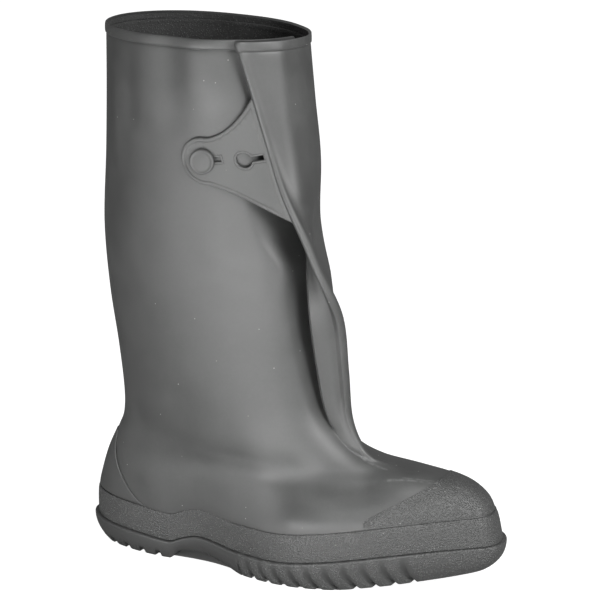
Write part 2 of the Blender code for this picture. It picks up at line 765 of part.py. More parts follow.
def make_button():
    builder = bmesh.new()
    profile = [(0.0, 0.0)] + list(BUTTON_PROFILE.values()) + [(0.0, BUTTON_DOME)]
    points = [builder.verts.new((radius * MM, 0.0, height * MM)) for radius, height in profile]
    edges = [builder.edges.new(pair) for pair in zip(points[:-1], points[1:])]
    bmesh.ops.spin(
        builder, geom=points + edges, cent=(0, 0, 0), axis=(0, 0, 1), angle=2 * math.pi,
        steps=BUTTON_STEPS, use_merge=True,
    )
    bmesh.ops.remove_doubles(builder, verts=builder.verts, dist=MERGE * MM)
    arc, z = BUTTON_PLACE
    ring = shaft_ring(z)
    seat = Vector(ring.at(arc, GAP)) * MM
    axis = (Vector(ring.at(arc, 1.0)) - Vector(ring.at(arc, 0.0))).normalized()
    turn = axis.to_track_quat("Z", "Y").to_matrix().to_4x4()
    bmesh.ops.transform(builder, matrix=Matrix.Translation(seat) @ turn, verts=builder.verts)
    return finish_object("button", builder, SATIN)


def main():
    for thing in list(bpy.data.objects):
        bpy.data.objects.remove(thing, do_unlink=True)
    make_outsole()
    make_upper()
    make_foxing_band()
    make_toe_cap()
    make_heel_counter()
    make_strap()
    make_button()


main()
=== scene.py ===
# %% [markdown]
# # Dressing a rubber overboot
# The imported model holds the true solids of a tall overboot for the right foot: a hollow upper, a sole
# shaped like a tray, and the small pieces on them. This lesson lays a finer skin on each of those shapes,
# gives it the finish of moulded rubber, and sets up a plain studio. Sizes are in millimetres and degrees.

import functools
import math

import bmesh
import bpy
import numpy as np
from mathutils import Matrix, Vector


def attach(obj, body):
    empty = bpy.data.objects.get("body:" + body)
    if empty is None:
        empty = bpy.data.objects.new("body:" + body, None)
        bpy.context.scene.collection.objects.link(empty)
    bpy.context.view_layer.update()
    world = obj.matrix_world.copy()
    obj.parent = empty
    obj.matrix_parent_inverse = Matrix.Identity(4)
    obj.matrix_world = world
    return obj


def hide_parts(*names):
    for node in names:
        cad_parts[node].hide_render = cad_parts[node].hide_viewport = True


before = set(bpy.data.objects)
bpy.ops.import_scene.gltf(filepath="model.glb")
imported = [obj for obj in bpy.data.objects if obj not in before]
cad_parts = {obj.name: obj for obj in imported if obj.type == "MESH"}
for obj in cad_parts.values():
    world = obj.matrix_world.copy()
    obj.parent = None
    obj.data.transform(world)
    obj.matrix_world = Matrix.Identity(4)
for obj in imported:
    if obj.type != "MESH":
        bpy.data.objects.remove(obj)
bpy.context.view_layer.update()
MM = 0.001
print("solids:", ", ".join(sorted(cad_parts)))

# %% [markdown]
# ## The sizes of the boot
# A boot has no flat faces, so its maker draws sections: rings round the foot and the shaft, one above the
# other, with smooth curves through them. The tables below are those sections. Each row is a ring: its back
# and its front, its half-widths, and how it is pinched at the waist and rounded at the ends.

# %% Heights along the sole
LEDGE = {
    "heel_back": (-165, 22), "heel_corner": (-148, 18.5), "heel_side": (-110, 16), "breast": (-87, 14),
    "arch_rise": (-75, 18.5), "arch": (-61, 22), "shank": (-26, 19), "joint": (2, 19), "ball": (45, 23),
    "toe_bend": (100, 30.5), "toe_side": (132, 34), "toe_tip": (165, 36),
}
UNDERSIDE = {
    "heel_tip": (-165, 6), "heel_bevel": (-148, 0), "breast_foot": (-87, 0), "breast_top": (-79, 7),
    "arch": (-60, 9), "shank": (-36, 4), "tread_start": (-20, 0), "ball": (46, 0), "toe_bend": (84, 3.5),
    "toe_side": (115, 8), "toe_tip": (165, 15),
}
BED = {
    "heel_back": (-165, 11), "breast": (-90, 11), "arch": (-60, 15.5), "shank": (-20, 11), "ball": (46, 10),
    "toe_bend": (100, 17), "toe_tip": (165, 26),
}
print("sole from", LEDGE["heel_back"][0], "to", LEDGE["toe_tip"][0], "mm")

# %% Sections of the upper and of its front fold
SECTION_COLUMNS = (
    "back_x", "back_z", "front_x", "front_z", "heel_half", "ball_half", "outer_pinch", "inner_pinch",
    "outer_slope", "outer_round", "inner_round", "heel_round", "swing", "ledge_follow",
)
SECTIONS = {
    "ledge": (-160, 21.4, 160, 36.5, 39, 52, 7.5, 13, 0, 1.8, 2.5, 2.4, 1, 1),
    "band": (-160, 42.6, 154.5, 57.6, 39, 51.2, 6.5, 11.5, 0, 1.8, 2.5, 2.4, 1, 1),
    "toe_rise": (-157.5, 56, 147.5, 69, 38.5, 50, 4.5, 8, 3.6, 1.85, 2.4, 2.3, 1, 0.8),
    "toe_crown": (-154, 68, 132, 78, 38, 49, 2.5, 5, 7, 1.9, 2.3, 2.3, 1, 0.6),
    "vamp": (-150, 80, 108, 84, 37.5, 47, 1, 3, 8, 1.95, 2.2, 2.2, 0.9, 0.4),
    "throat": (-145, 92, 78, 89.5, 38, 46, 0, 1, 6.5, 2, 2.1, 2.2, 0.8, 0.2),
    "instep": (-141, 104, 52, 101, 40, 45, 0, 0, 3, 2.1, 2.1, 2.1, 0.5, 0.1),
    "ankle": (-141, 124, 34, 124, 43, 45, 0, 0, 0.5, 2.1, 2.1, 2.1, 0, 0),
    "low_shaft": (-145, 160, 27, 160, 47, 47, 0, 0, 0, 2.1, 2.1, 2.1, 0, 0),
    "calf": (-152, 205, 25, 205, 51, 50, 0, 0, 0, 2.1, 2.1, 2.1, 0, 0),
    "mid_shaft": (-156, 255, 20, 255, 54, 52, 0, 0, 0, 2.1, 2.1, 2.1, 0, 0),
    "strap": (-154, 310, 13, 310, 55, 53, 0, 0, 0, 2.1, 2.1, 2.1, 0, 0),
    "high_shaft": (-153, 360, 6, 360, 56, 54, 0, 0, 0, 2.1, 2.1, 2.1, 0, 0),
    "hem": (-153, 401, 0, 401, 56, 54, 0, 0, 0, 2.1, 2.1, 2.1, 0, 0),
    "collar": (-153, 408, 0, 408, 56, 54, 0, 0, 0, 2.1, 2.1, 2.1, 0, 0),
}
FOLD_COLUMNS = ("valley", "length", "lean", "merge", "gap", "amount")
FOLD = {
    "ledge": (24, 0, 110, -24, 1, 0),
    "band": (24, 0, 110, -24, 1, 0),
    "toe_rise": (22, 0, 110, -22, 1, 0),
    "toe_crown": (18, 0, 110, -20, 1, 0),
    "vamp": (14, 0, 115, -18, 1, 0),
    "throat": (12, 2, 118, -20, 1, 0.25),
    "instep": (11, 9, 116, -22, 1, 1),
    "ankle": (12, 15, 108, -26, 1, 1),
    "low_shaft": (15, 20, 106, -30, 1, 1),
    "calf": (21, 22, 106, -34, 1, 1),
    "mid_shaft": (19, 17, 62, -38, 1, 1),
    "strap": (15, 22, 8, -40, 1, 1),
    "high_shaft": (13, 32, 2, -42, 1, 1),
    "hem": (12, 40, 2, -42, 2.8, 1),
    "collar": (12, 41, 2, -42, 2.8, 1),
}
print(len(SECTIONS), "sections from", SECTIONS["ledge"][1], "to", SECTIONS["collar"][1], "mm up")

# %% [markdown]
# ## From tables to curves
# Straight lines between the rows would show as flats on shiny rubber. A cubic curve passes through every
# row with an even slope, so the same few numbers serve a coarse solid and this fine skin alike.

# %% Smooth curves through a table
def smoothstep(low, high, value):
    t = np.clip((value - low) / (high - low), 0.0, 1.0)
    return t * t * (3 - 2 * t)


def hermite(here, there, slope_here, slope_there, t):
    start = here * (1 + 2 * t) * (1 - t) ** 2 + slope_here * t * (1 - t) ** 2
    return start + there * t * t * (3 - 2 * t) - slope_there * t * t * (1 - t)


def named(columns, row):
    """One row of a table, with the names of its columns."""
    return dict(zip(columns, row))


def row_at(columns, rows, level):
    """Values between the rows of a table; level 1.5 lies half way from row 1 to row 2."""
    values = np.array(list(rows.values()), dtype=float)
    last = len(values) - 1
    start = min(int(level), last - 1)
    here, there = values[start], values[start + 1]
    before, after = values[max(start - 1, 0)], values[min(start + 2, last)]
    return named(columns, hermite(here, there, (there - before) / 2, (after - here) / 2, level - start))


def height_at(rows, x):
    """Smooth line through a table of heights, level at each of its turning points."""
    stations = np.array(list(rows.values()), dtype=float)
    xs, zs = stations[:, 0], stations[:, 1]
    rises = np.diff(zs) / np.diff(xs)
    slopes = np.zeros_like(zs)
    slopes[0], slopes[-1] = rises[0], rises[-1]
    for i in range(1, len(xs) - 1):
        if rises[i - 1] * rises[i] > 0:
            slopes[i] = 2 * rises[i - 1] * rises[i] / (rises[i - 1] + rises[i])
    x = np.clip(x, xs[0], xs[-1])
    i = np.clip(np.searchsorted(xs, x, side="right") - 1, 0, len(xs) - 2)
    span = xs[i + 1] - xs[i]
    return hermite(zs[i], zs[i + 1], slopes[i] * span, slopes[i + 1] * span, (x - xs[i]) / span)


print("ledge at the ball:", round(float(height_at(LEDGE, 45)), 1), "mm up")

# %% Plan of a ring
TOE_SWING, SWING_FROM, SWING_TO = 21.0, 20.0, 150.0
SHAFT_OFFSET, MIDDLE_OFFSET = 3.0, 3.98
WIDEN_FROM, WIDEN_TO = 0.2, 0.6
WAIST_OUTER, WAIST_INNER, WAIST_SPREAD = 0.33, 0.42, 0.13
TIP_BLEND = 0.5


def plan_point(section, turn):
    """Plan of a ring at an angle, 0 at the front centre and a quarter turn on the outer side."""
    turn = np.asarray(turn, dtype=float)
    along = (1 + np.cos(turn)) / 2
    x = section["back_x"] + (section["front_x"] - section["back_x"]) * along
    outer = np.sin(turn) > 0
    outer_share = smoothstep(-TIP_BLEND, TIP_BLEND, np.sin(turn))
    widening = smoothstep(WIDEN_FROM, WIDEN_TO, along)
    half = section["heel_half"] + (section["ball_half"] - section["heel_half"]) * widening
    waist = np.where(outer, WAIST_OUTER, WAIST_INNER)
    pinch = np.where(outer, section["outer_pinch"], section["inner_pinch"])
    half = half - pinch * np.exp(-((along - waist) / WAIST_SPREAD) ** 2)
    half = half - np.where(outer, section["outer_slope"] * widening, 0.0)
    toe_round = section["inner_round"] + (section["outer_round"] - section["inner_round"]) * outer_share
    power = np.where(along > 0.5, toe_round, section["heel_round"])
    round_end = np.maximum(1 - np.abs(np.cos(turn)) ** power, 0.0) ** (1 / power)
    foot = TOE_SWING * smoothstep(SWING_FROM, SWING_TO, x)
    centre = section["swing"] * foot + (1 - section["swing"]) * SHAFT_OFFSET - MIDDLE_OFFSET
    return x, np.where(outer, -half, half) * round_end + centre


class Ring:
    """One section of the upper: its plan, its height and the arc length along it."""

    SAMPLES = 720
    NORMAL_REACH = 1.5

    def __init__(self, level):
        self.section = row_at(SECTION_COLUMNS, SECTIONS, level)
        self.fold = row_at(FOLD_COLUMNS, FOLD, level)
        self.turns = np.linspace(-math.pi, math.pi, self.SAMPLES + 1)
        self.x, self.y = plan_point(self.section, self.turns)
        arc = np.concatenate([[0.0], np.cumsum(np.hypot(np.diff(self.x), np.diff(self.y)))])
        self.arc = arc - np.interp(0.0, self.turns, arc)

    def height(self, x):
        section = self.section
        back_x, front_x = section["back_x"], section["front_x"]
        along = (x - back_x) / (front_x - back_x)
        line = section["back_z"] + (section["front_z"] - section["back_z"]) * along
        back_ledge = height_at(LEDGE, back_x)
        ledge_line = back_ledge + (height_at(LEDGE, front_x) - back_ledge) * along
        return line + section["ledge_follow"] * (height_at(LEDGE, x) - ledge_line)

    def at(self, arc, out=0.0):
        """Points at arc lengths along the ring, moved out from it in its own plane."""
        arc = np.asarray(arc, dtype=float)
        x, y = np.interp(arc, self.arc, self.x), np.interp(arc, self.arc, self.y)
        ahead, behind = arc + self.NORMAL_REACH, arc - self.NORMAL_REACH
        run_x = np.interp(ahead, self.arc, self.x) - np.interp(behind, self.arc, self.x)
        run_y = np.interp(ahead, self.arc, self.y) - np.interp(behind, self.arc, self.y)
        size = np.hypot(run_x, run_y)
        return np.stack([x - out * run_y / size, y + out * run_x / size, self.height(x)], axis=-1)


print("girth at the ankle:", round(float(np.ptp(Ring(7).arc))), "mm")

# %% [markdown]
# ## The folded gusset
# A pull-on overboot is wider than the shoe inside it. The spare rubber at the front is a gusset that folds
# over on itself: it turns back in a tight valley, runs out to a soft ridge, and returns round the front.
# Below the strap the fold stands up like a fin, and above it lies flat on the side of the leg.

# %% Path of the fold across one section
WALL = 2.2
RIDGE_WIDTH = 2 * WALL + 1.0
VALLEY_STEPS, MIDDLE_STEPS, RIDGE_STEPS, RETURN_STEPS, QUARTER_STEPS = 7, 9, 13, 30, 150
RETURN_PULL = 0.9
STANDING_LEAN, FLAT_LEAN, PAST_VALLEY = 90.0, 45.0, 4.0


def fold_path(fold):
    """The fold across one section: arc length along the ring and distance out from it."""
    lean = math.radians(fold["lean"])
    run = np.array([math.cos(lean), math.sin(lean)])
    side = np.array([-run[1], run[0]])
    radius = fold["gap"] / 2
    bends = (math.pi - lean) * np.linspace(0, 1, VALLEY_STEPS)
    points = [[fold["valley"] - radius * math.sin(b), radius * (1 - math.cos(b))] for b in bends]
    start = np.array(points[-1])
    points += [start + run * fold["length"] * i / (MIDDLE_STEPS + 1) for i in range(1, MIDDLE_STEPS + 1)]
    centre = start + run * fold["length"] + side * RIDGE_WIDTH / 2
    for bend in np.linspace(0, math.pi, RIDGE_STEPS):
        points.append(centre + (run * math.sin(bend) - side * math.cos(bend)) * RIDGE_WIDTH / 2)
    near = np.array(points[-1])
    flatness = 1 - smoothstep(FLAT_LEAN, STANDING_LEAN, fold["lean"])
    carry = (fold["length"] + PAST_VALLEY) * flatness
    turning, far = near - run * carry, np.array([fold["merge"], 0.0])
    gap = np.hypot(*(far - turning))
    pull, inward = RETURN_PULL * gap, np.array([-1.0, 0.0])
    for i in range(1, RETURN_STEPS + 1):
        travel = (carry + gap) * i / (RETURN_STEPS + 1)
        if travel < carry:
            points.append(near - run * travel)
        else:
            points.append(hermite(turning, far, -run * pull, inward * pull, (travel - carry) / gap))
    folded = np.array(points)
    flat = np.zeros_like(folded)
    flat[:, 0] = np.linspace(fold["valley"], fold["merge"], len(folded) + 1)[:-1]
    return flat + (folded - flat) * np.clip(fold["amount"], 0.0, 1.0)


def ring_points(level):
    """Outer face of the upper at one section, over the fold and then round by the inner side."""
    ring = Ring(level)
    fold = fold_path(ring.fold)
    start = np.interp(ring.fold["merge"], ring.arc, ring.turns)
    end = np.interp(ring.fold["valley"], ring.arc, ring.turns) - 2 * math.pi
    x, y = plan_point(ring.section, np.linspace(start, end, QUARTER_STEPS + 1)[:-1])
    rest = np.stack([x, y, ring.height(x)], axis=-1)
    return np.concatenate([ring.at(fold[:, 0], fold[:, 1]), rest])


print("points in one ring:", len(ring_points(7)))

# %% [markdown]
# ## A grid wrapped on the sections
# Joining hundreds of vertices by hand is slow and easy to get wrong. Blender's grid operator makes a flat
# net of good quads, and each of its knots is then moved to the place that the sections give. Edges that
# meet are merged, so the net becomes a closed ring or a closed tube.

# %% Helpers that make pieces
MERGE = 0.001


def wrapped_grid(points, ring, tube=False, marks=None):
    """A net of quads on a table of points: a ring joins its columns, and a tube its rows too."""
    rows, columns = points.shape[:2]
    builder = bmesh.new()
    layers = {name: builder.verts.layers.float.new(name) for name in (marks or {})}
    across, up = columns - (not ring), rows - (not tube)
    bmesh.ops.create_grid(builder, x_segments=across, y_segments=up, size=0.5)
    spots = np.array([vertex.co for vertex in builder.verts])
    share = (spots - spots.min(axis=0))[:, :2] / np.ptp(spots, axis=0)[:2]
    for vertex, (k, i) in zip(builder.verts, np.rint(share * (across, up)).astype(int)):
        vertex.co = Vector(points[i % rows, k % columns]) * MM
        for name, layer in layers.items():
            vertex[layer] = float(marks[name][i % rows, k % columns])
    bmesh.ops.remove_doubles(builder, verts=builder.verts, dist=MERGE * MM)
    bmesh.ops.recalc_face_normals(builder, faces=builder.faces)
    return builder


def outward(points):
    """Directions straight out from a table of rings."""
    along = np.roll(points, -1, axis=1) - np.roll(points, 1, axis=1)
    normal = np.cross(along, np.gradient(points, axis=0))
    return normal / np.linalg.norm(normal, axis=2, keepdims=True)


def new_mesh(name, builder):
    mesh = bpy.data.meshes.new(name)
    builder.to_mesh(mesh)
    builder.free()
    return mesh


def new_object(name, data):
    made = bpy.data.objects.new(name, data)
    bpy.context.collection.objects.link(made)
    return made


def make_piece(name, builder, node, sharp=40.0):
    """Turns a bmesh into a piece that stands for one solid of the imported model."""
    mesh = new_mesh(name, builder)
    mesh.shade_smooth()
    mesh.set_sharp_from_angle(angle=math.radians(sharp))
    piece = new_object(name, mesh)
    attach(piece, "root")
    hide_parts(node)
    print(name, "has", len(mesh.polygons), "faces")
    return piece


print("pieces are made of nets merged within", MERGE, "mm")

# %% [markdown]
# ## The upper
# The vamp, the quarters and the shaft are moulded as one skin about two millimetres thick. Its rim carries
# a raised hem. Rubber that has been folded and stored also keeps a few soft dents, which are given as lines
# in the boot's own space: the skin sinks or swells near each line and the change fades with distance.

# %% Soft dents and swells
# Lines on the boot, the width over which the skin moves, and how far it moves out
DENT_COLUMNS = ("line", "width", "out")
DENTS = {
    "shaft_crest": (((-58, -52, 402), (-57, -53, 376)), 17, 3.2),
    "shaft_trough": (((-78, -55, 405), (-76, -55, 350)), 15, -1.4),
    "back_swell": (((-132, -40, 382), (-131, -40, 350), (-128, -42, 306)), 8, 1.4),
    "back_trough": (((-115, -50, 385), (-114, -50, 345)), 8, -1.3),
    "flap_crest": (((-1, -32, 400), (3, -31, 358), (8, -29, 328), (16, -29, 297)), 7, 1.3),
    "heel_flare": (((-100, -40, 52), (-70, -38, 50), (-40, -40, 50)), 17, 1.5),
    "heel_hollow": (((-110, -40, 96), (-70, -40, 94), (-30, -42, 96)), 20, -1.6),
    "vamp_swell": (((22, -50, 52), (44, -49, 52)), 9, 1.6),
    "vamp_hollow": (((20, -42, 84), (45, -35, 84), (68, -27, 82)), 17, -4.8),
}


def line_distance(points, line):
    """How far each point is from a line through a few places."""
    away = np.full(points.shape[:2], np.inf)
    for start, end in zip(np.array(line[:-1], dtype=float), np.array(line[1:], dtype=float)):
        run = end - start
        share = np.clip(((points - start) @ run) / (run @ run), 0.0, 1.0)
        away = np.minimum(away, np.linalg.norm(points - start - share[..., None] * run, axis=-1))
    return away


def near_line(points, line, width):
    """1 on a line, fading softly to 0 about two widths away."""
    return np.exp(-(line_distance(points, line) / width) ** 2)


def dent_depth(points):
    depth = np.zeros(points.shape[:2])
    for row in DENTS.values():
        dent = named(DENT_COLUMNS, row)
        depth += dent["out"] * near_line(points, dent["line"], dent["width"])
    return depth


print(len(DENTS), "soft dents and swells")

# %% Levels of the rings and the hem
SHAFT_FOOT, COLLAR_LEVEL = 7, 14
# Height and distance out of each row of the hem
HEM = {
    "below": (398.6, 0.0), "groove_edge": (399.2, -0.12), "groove": (399.8, -0.45), "foot": (400.3, -0.4),
    "step": (400.6, 0.4), "shoulder": (401.1, 0.8), "low_face": (402.5, 0.95), "face": (404.6, 1.0),
    "high_face": (406.6, 0.9), "edge": (407.6, 0.65), "lip": (408.0, 0.2),
}
FINE_LEVELS, FOOT_RINGS, SHAFT_RINGS = 281, 72, 74
fine_levels = np.linspace(SHAFT_FOOT, COLLAR_LEVEL, FINE_LEVELS)
fine_heights = [row_at(SECTION_COLUMNS, SECTIONS, level)["front_z"] for level in fine_levels]


def shaft_level(z):
    """Level of the ring at a height on the shaft."""
    return np.interp(z, fine_heights, fine_levels)


hem_rows = np.array(list(HEM.values()))
foot_levels = np.linspace(0, SHAFT_FOOT, FOOT_RINGS)
shaft_levels = shaft_level(np.linspace(fine_heights[0], hem_rows[0, 0], SHAFT_RINGS)[1:-1])
upper_levels = np.concatenate([foot_levels, shaft_levels, shaft_level(hem_rows[:, 0])])
hem_out = np.concatenate([np.zeros(len(upper_levels) - len(hem_rows)), hem_rows[:, 1]])
print(len(upper_levels), "rings in the upper")

# %% [markdown]
# ## The hollow beside the fold
# Below the strap the quarter is drawn in towards the valley of the fold, which leaves a deep, dark hollow.
# It fades along the quarter and down to the instep. The strip between the valley and the ridge comes out a
# little, and higher up the quarter stays clear of the flap's free edge.

# %% Draw the quarter in
POCKET_COLUMNS = ("z", "depth", "width", "strip_out")
POCKET = {
    "throat": (112, 0, 12, 0), "instep": (126, 4, 14, 2), "ankle": (150, 9, 16, 4), "tail": (180, 12, 17, 6),
    "low": (205, 15, 19, 7), "middle": (234, 16, 20, 5), "mouth": (264, 27, 39, 3),
    "strap_edge": (292, 26, 46, 1), "behind_strap": (322, 12, 42, 0), "above": (350, 0, 30, 0),
}
POCKET_WAY, POCKET_ROUND = (-0.39, 0.92, 0.0), 1.5
FLAP_GAP, FLAP_GAP_WIDTH, FLAP_FROM, FLAP_TO = 7.0, 4.4, 305.0, 325.0
crest = VALLEY_STEPS + MIDDLE_STEPS + RIDGE_STEPS // 2
front = VALLEY_STEPS + MIDDLE_STEPS + RIDGE_STEPS + RETURN_STEPS


def drawn_in(points):
    """How far each point is drawn in: most at the valley, less with distance along the quarter."""
    heights = points[:, 0, 2]

    def column(name):
        k = POCKET_COLUMNS.index(name)
        return height_at({label: (row[0], row[k]) for label, row in POCKET.items()}, heights)[:, None]

    depth, width, strip_out = column("depth"), column("width"), column("strip_out")
    closed = np.concatenate([points[:, front:], points[:, :1]], axis=1)
    steps = np.linalg.norm(np.diff(closed, axis=1), axis=2)
    away = np.cumsum(steps[:, ::-1], axis=1)[:, ::-1]
    drawn = np.zeros(points.shape[:2])
    drawn[:, :VALLEY_STEPS] = depth
    strip = np.linspace(1.0, 0.0, MIDDLE_STEPS)
    drawn[:, VALLEY_STEPS:VALLEY_STEPS + MIDDLE_STEPS] = -strip_out * strip
    drawn[:, front:] = depth * np.clip(1.0 - away / width, 0.0, 1.0) ** POCKET_ROUND
    beside = np.linalg.norm(points[:, front:] - points[:, crest:crest + 1], axis=2)
    flat = smoothstep(FLAP_FROM, FLAP_TO, heights)[:, None]
    drawn[:, front:] += FLAP_GAP * flat * np.exp(-(beside / FLAP_GAP_WIDTH) ** 2)
    return drawn


upper_points = np.array([ring_points(level) for level in upper_levels])
drawn = drawn_in(upper_points)
upper_points = upper_points + np.array(POCKET_WAY) * drawn[..., None]
print("hollow up to", round(float(drawn.max())), "mm deep")

# %% Make the upper
# A bead runs along the ridge with a crease beside it; both are counted in points of the ring
RIDGE_BEAD, BEAD_WIDTH = 0.9, 4.0
RIDGE_CREASE, CREASE_ASIDE, CREASE_WIDTH = 1.0, 7.0, 1.2
BEAD_FROM, BEAD_TO = 6.0, 7.5
aside = np.abs(np.arange(upper_points.shape[1]) - crest)
bead = RIDGE_BEAD * np.exp(-(aside / BEAD_WIDTH) ** 2)
bead = bead - RIDGE_CREASE * np.exp(-((aside - CREASE_ASIDE) / CREASE_WIDTH) ** 2)
standing = smoothstep(BEAD_FROM, BEAD_TO, upper_levels)[:, None]
swell = dent_depth(upper_points) + hem_out[:, None] + bead * standing
upper_points = upper_points + outward(upper_points) * swell[..., None]
upper = make_piece("upper_skin", wrapped_grid(upper_points, ring=True), "upper")
wall = upper.modifiers.new("wall", "SOLIDIFY")
wall.thickness = WALL * MM
wall.offset = -1.0
wall.use_rim = True
wall.material_offset = 1
print("wall", WALL, "mm")

# %% [markdown]
# ## The band and the overlays
# Round the foot runs a band of pebbled rubber, and thin overlays cover the toe and the back of the heel.
# Each of them is the upper's own surface moved out by its thickness, so it can't sink in or float off. The
# band's profile is a closed loop of rows, which makes the net a tube.

# %% Make the foxing band
GAP, LEDGE_CLEAR = 0.3, 0.6
BAND_COLUMNS = ("level", "out", "drop")
BAND_PROFILE = {
    "inner_foot": (0, GAP, 0), "inner_top": (1, GAP, 0), "top": (1, 1.1, 0), "top_edge": (1, 1.55, 0.15),
    "corner": (1, 1.85, 0.5), "face_top": (1, 1.95, 1.1), "high": (0.82, 2.1, 0), "upper_mid": (0.64, 2.2, 0),
    "middle": (0.46, 2.2, 0), "lower_mid": (0.28, 2.15, 0), "low": (0.12, 2.05, 0), "face_foot": (0, 1.9, 0),
}


def ring_out(level, out):
    """A ring of the foot moved out in its own plane."""
    points = ring_points(level)
    run = np.roll(points, -1, axis=0) - np.roll(points, 1, axis=0)
    size = np.hypot(run[:, 0], run[:, 1])
    return points + np.stack([run[:, 1], -run[:, 0], np.zeros(len(run))], axis=-1) / size[:, None] * out


band_rows = []
for row in BAND_PROFILE.values():
    place = named(BAND_COLUMNS, row)
    points = ring_out(place["level"], place["out"])
    points[:, 2] -= place["drop"]
    if place["level"] == 0:
        points[:, 2] = height_at(LEDGE, points[:, 0]) + LEDGE_CLEAR
    band_rows.append(points)
band = make_piece("foxing_band_skin", wrapped_grid(np.array(band_rows), ring=True, tube=True), "foxing_band")

# %% Make the toe cap and the heel counter
OVERLAY_THINS, OVERLAY_SOFT, OVERLAY_CORNER = 0.6, 0.4, 50.0
CAP_FOOT, CAP_TOP, CAP_SIDE_TURN, CAP_MIN_RISE, CAP_BULGE = 1.06, 3.65, 60.0, 0.12, 0.8
COUNTER_FOOT, COUNTER_TOP, COUNTER_FOOT_TURN, COUNTER_TOP_TURN, COUNTER_TAPER = 1.06, 4.75, 48.0, 16.0, 0.7
TABLE_LEVELS = np.linspace(1.0, 4.8, 191)
TABLE_TURNS = np.radians(np.arange(-90.0, 270.5, 0.5))


def bare_ring(level):
    ring = Ring(level)
    x, y = plan_point(ring.section, TABLE_TURNS)
    return np.stack([x, y, ring.height(x)], axis=-1)


foot_table = np.array([bare_ring(level) for level in TABLE_LEVELS])
up_and_round = np.cross(np.gradient(foot_table, axis=0), np.gradient(foot_table, axis=1))
foot_normals = up_and_round / np.linalg.norm(up_and_round, axis=2, keepdims=True)


def foot_point(level, turn, out):
    """Point of the foot below the fold, moved straight out from the upper's outer face."""
    i = np.interp(level, TABLE_LEVELS, np.arange(len(TABLE_LEVELS)))
    k = np.interp(turn, TABLE_TURNS, np.arange(len(TABLE_TURNS)))
    low, left = min(int(i), len(TABLE_LEVELS) - 2), min(int(k), len(TABLE_TURNS) - 2)
    moved = foot_table[low:low + 2, left:left + 2] + foot_normals[low:low + 2, left:left + 2] * out
    edge = moved[0] + (moved[1] - moved[0]) * (i - low)
    return edge[0] + (edge[1] - edge[0]) * (k - left)


def cap_place(across, climb):
    """Level and angle on the toe cap, whose rear edge climbs from the band to the top of the toe."""
    bulge = max(math.cos(across * math.pi / 2), 0.0) ** CAP_BULGE
    rise = CAP_MIN_RISE + (1 - CAP_MIN_RISE) * bulge
    return CAP_FOOT + (CAP_TOP - CAP_FOOT) * rise * climb, math.radians(CAP_SIDE_TURN) * across


def counter_place(across, climb):
    """Level and angle on the heel counter, which narrows to a blunt top at the back of the ankle."""
    half_turn = COUNTER_FOOT_TURN + (COUNTER_TOP_TURN - COUNTER_FOOT_TURN) * climb ** COUNTER_TAPER
    return COUNTER_FOOT + (COUNTER_TOP - COUNTER_FOOT) * climb, math.pi + math.radians(half_turn) * across


def overlay(name, node, place, out, edge_out, columns, rows):
    """A thin patch on the upper with a rounded edge, thinner towards its free edge."""
    table = []
    for climb in np.linspace(0, 1, rows):
        rise = edge_out + (out - edge_out) * (1 - smoothstep(OVERLAY_THINS, 1.0, climb))
        table.append([foot_point(*place(across, climb), rise) for across in np.linspace(-1, 1, columns)])
    piece = make_piece(name, wrapped_grid(np.array(table), ring=False), node)
    thick = piece.modifiers.new("thickness", "SOLIDIFY")
    thick.thickness = (out - GAP) * MM
    thick.offset = -1.0
    soft = piece.modifiers.new("soft_edge", "BEVEL")
    soft.width = OVERLAY_SOFT * MM
    soft.segments = 3
    soft.angle_limit = math.radians(OVERLAY_CORNER)
    return piece


toe_cap = overlay("toe_cap_skin", "toe_cap", cap_place, 1.0, 0.6, 81, 33)
heel_counter = overlay("heel_counter_skin", "heel_counter", counter_place, 1.4, 0.7, 61, 41)

# %% [markdown]
# ## The outsole
# The sole is a tray. Its tread has rows of lugs across the heel and the forefoot, and the waist between
# them is plain. The lugs at the edge run up the side as leaning ribs. A loop is drawn across the sole at
# each cut: over the tread, up one side, across the bed and down the other. Of the grooves that meet, the
# deepest one wins.

# %% Outline and tread of the sole
SOLE_LENGTH, HEEL_HALF, BALL_HALF = 330.0, 44.0, 57.0
LIP = {
    "back_x": -SOLE_LENGTH / 2, "front_x": SOLE_LENGTH / 2, "heel_half": HEEL_HALF, "ball_half": BALL_HALF,
    "outer_pinch": 8.5, "inner_pinch": 14, "outer_slope": 0, "outer_round": 1.8, "inner_round": 2.5,
    "heel_round": 2.4, "swing": 1,
}
TREAD_COLUMNS = ("first_x", "last_x", "rows", "pitch", "side_rib")
TREAD = {"heel": (-154.3, -87, 5, 15.0, 0), "forefoot": (-20, 112, 10, 13.2, 1)}
# One pitch of the tread: share of the way along it, and share of the groove's depth there
PITCH_CUTS = (
    (0.0, 0.16), (0.03, 0.03), (0.1, 0.0), (0.34, 0.0), (0.58, 0.0), (0.65, 0.03), (0.68, 0.16),
    (0.705, 0.7), (0.74, 0.97), (0.84, 1.0), (0.94, 0.97), (0.975, 0.7),
)
print("tread rows:", sum(row[2] for row in TREAD.values()))

# %% Cuts along the sole
WAIST_STATIONS = (
    -86.5, -85, -83, -81, -79, -77, -75, -71, -68, -64, -60, -53, -46, -39, -32, -26, -22, -20.8,
)
HEEL_END_CUTS, TOE_END_CUTS = 19, 25
LUG_SHARE, RIB_MIDDLE, RIB_REACH = 0.7, 0.84, 0.36


def lip_turn(x):
    return math.acos(np.clip(2 * x / SOLE_LENGTH, -1.0, 1.0))


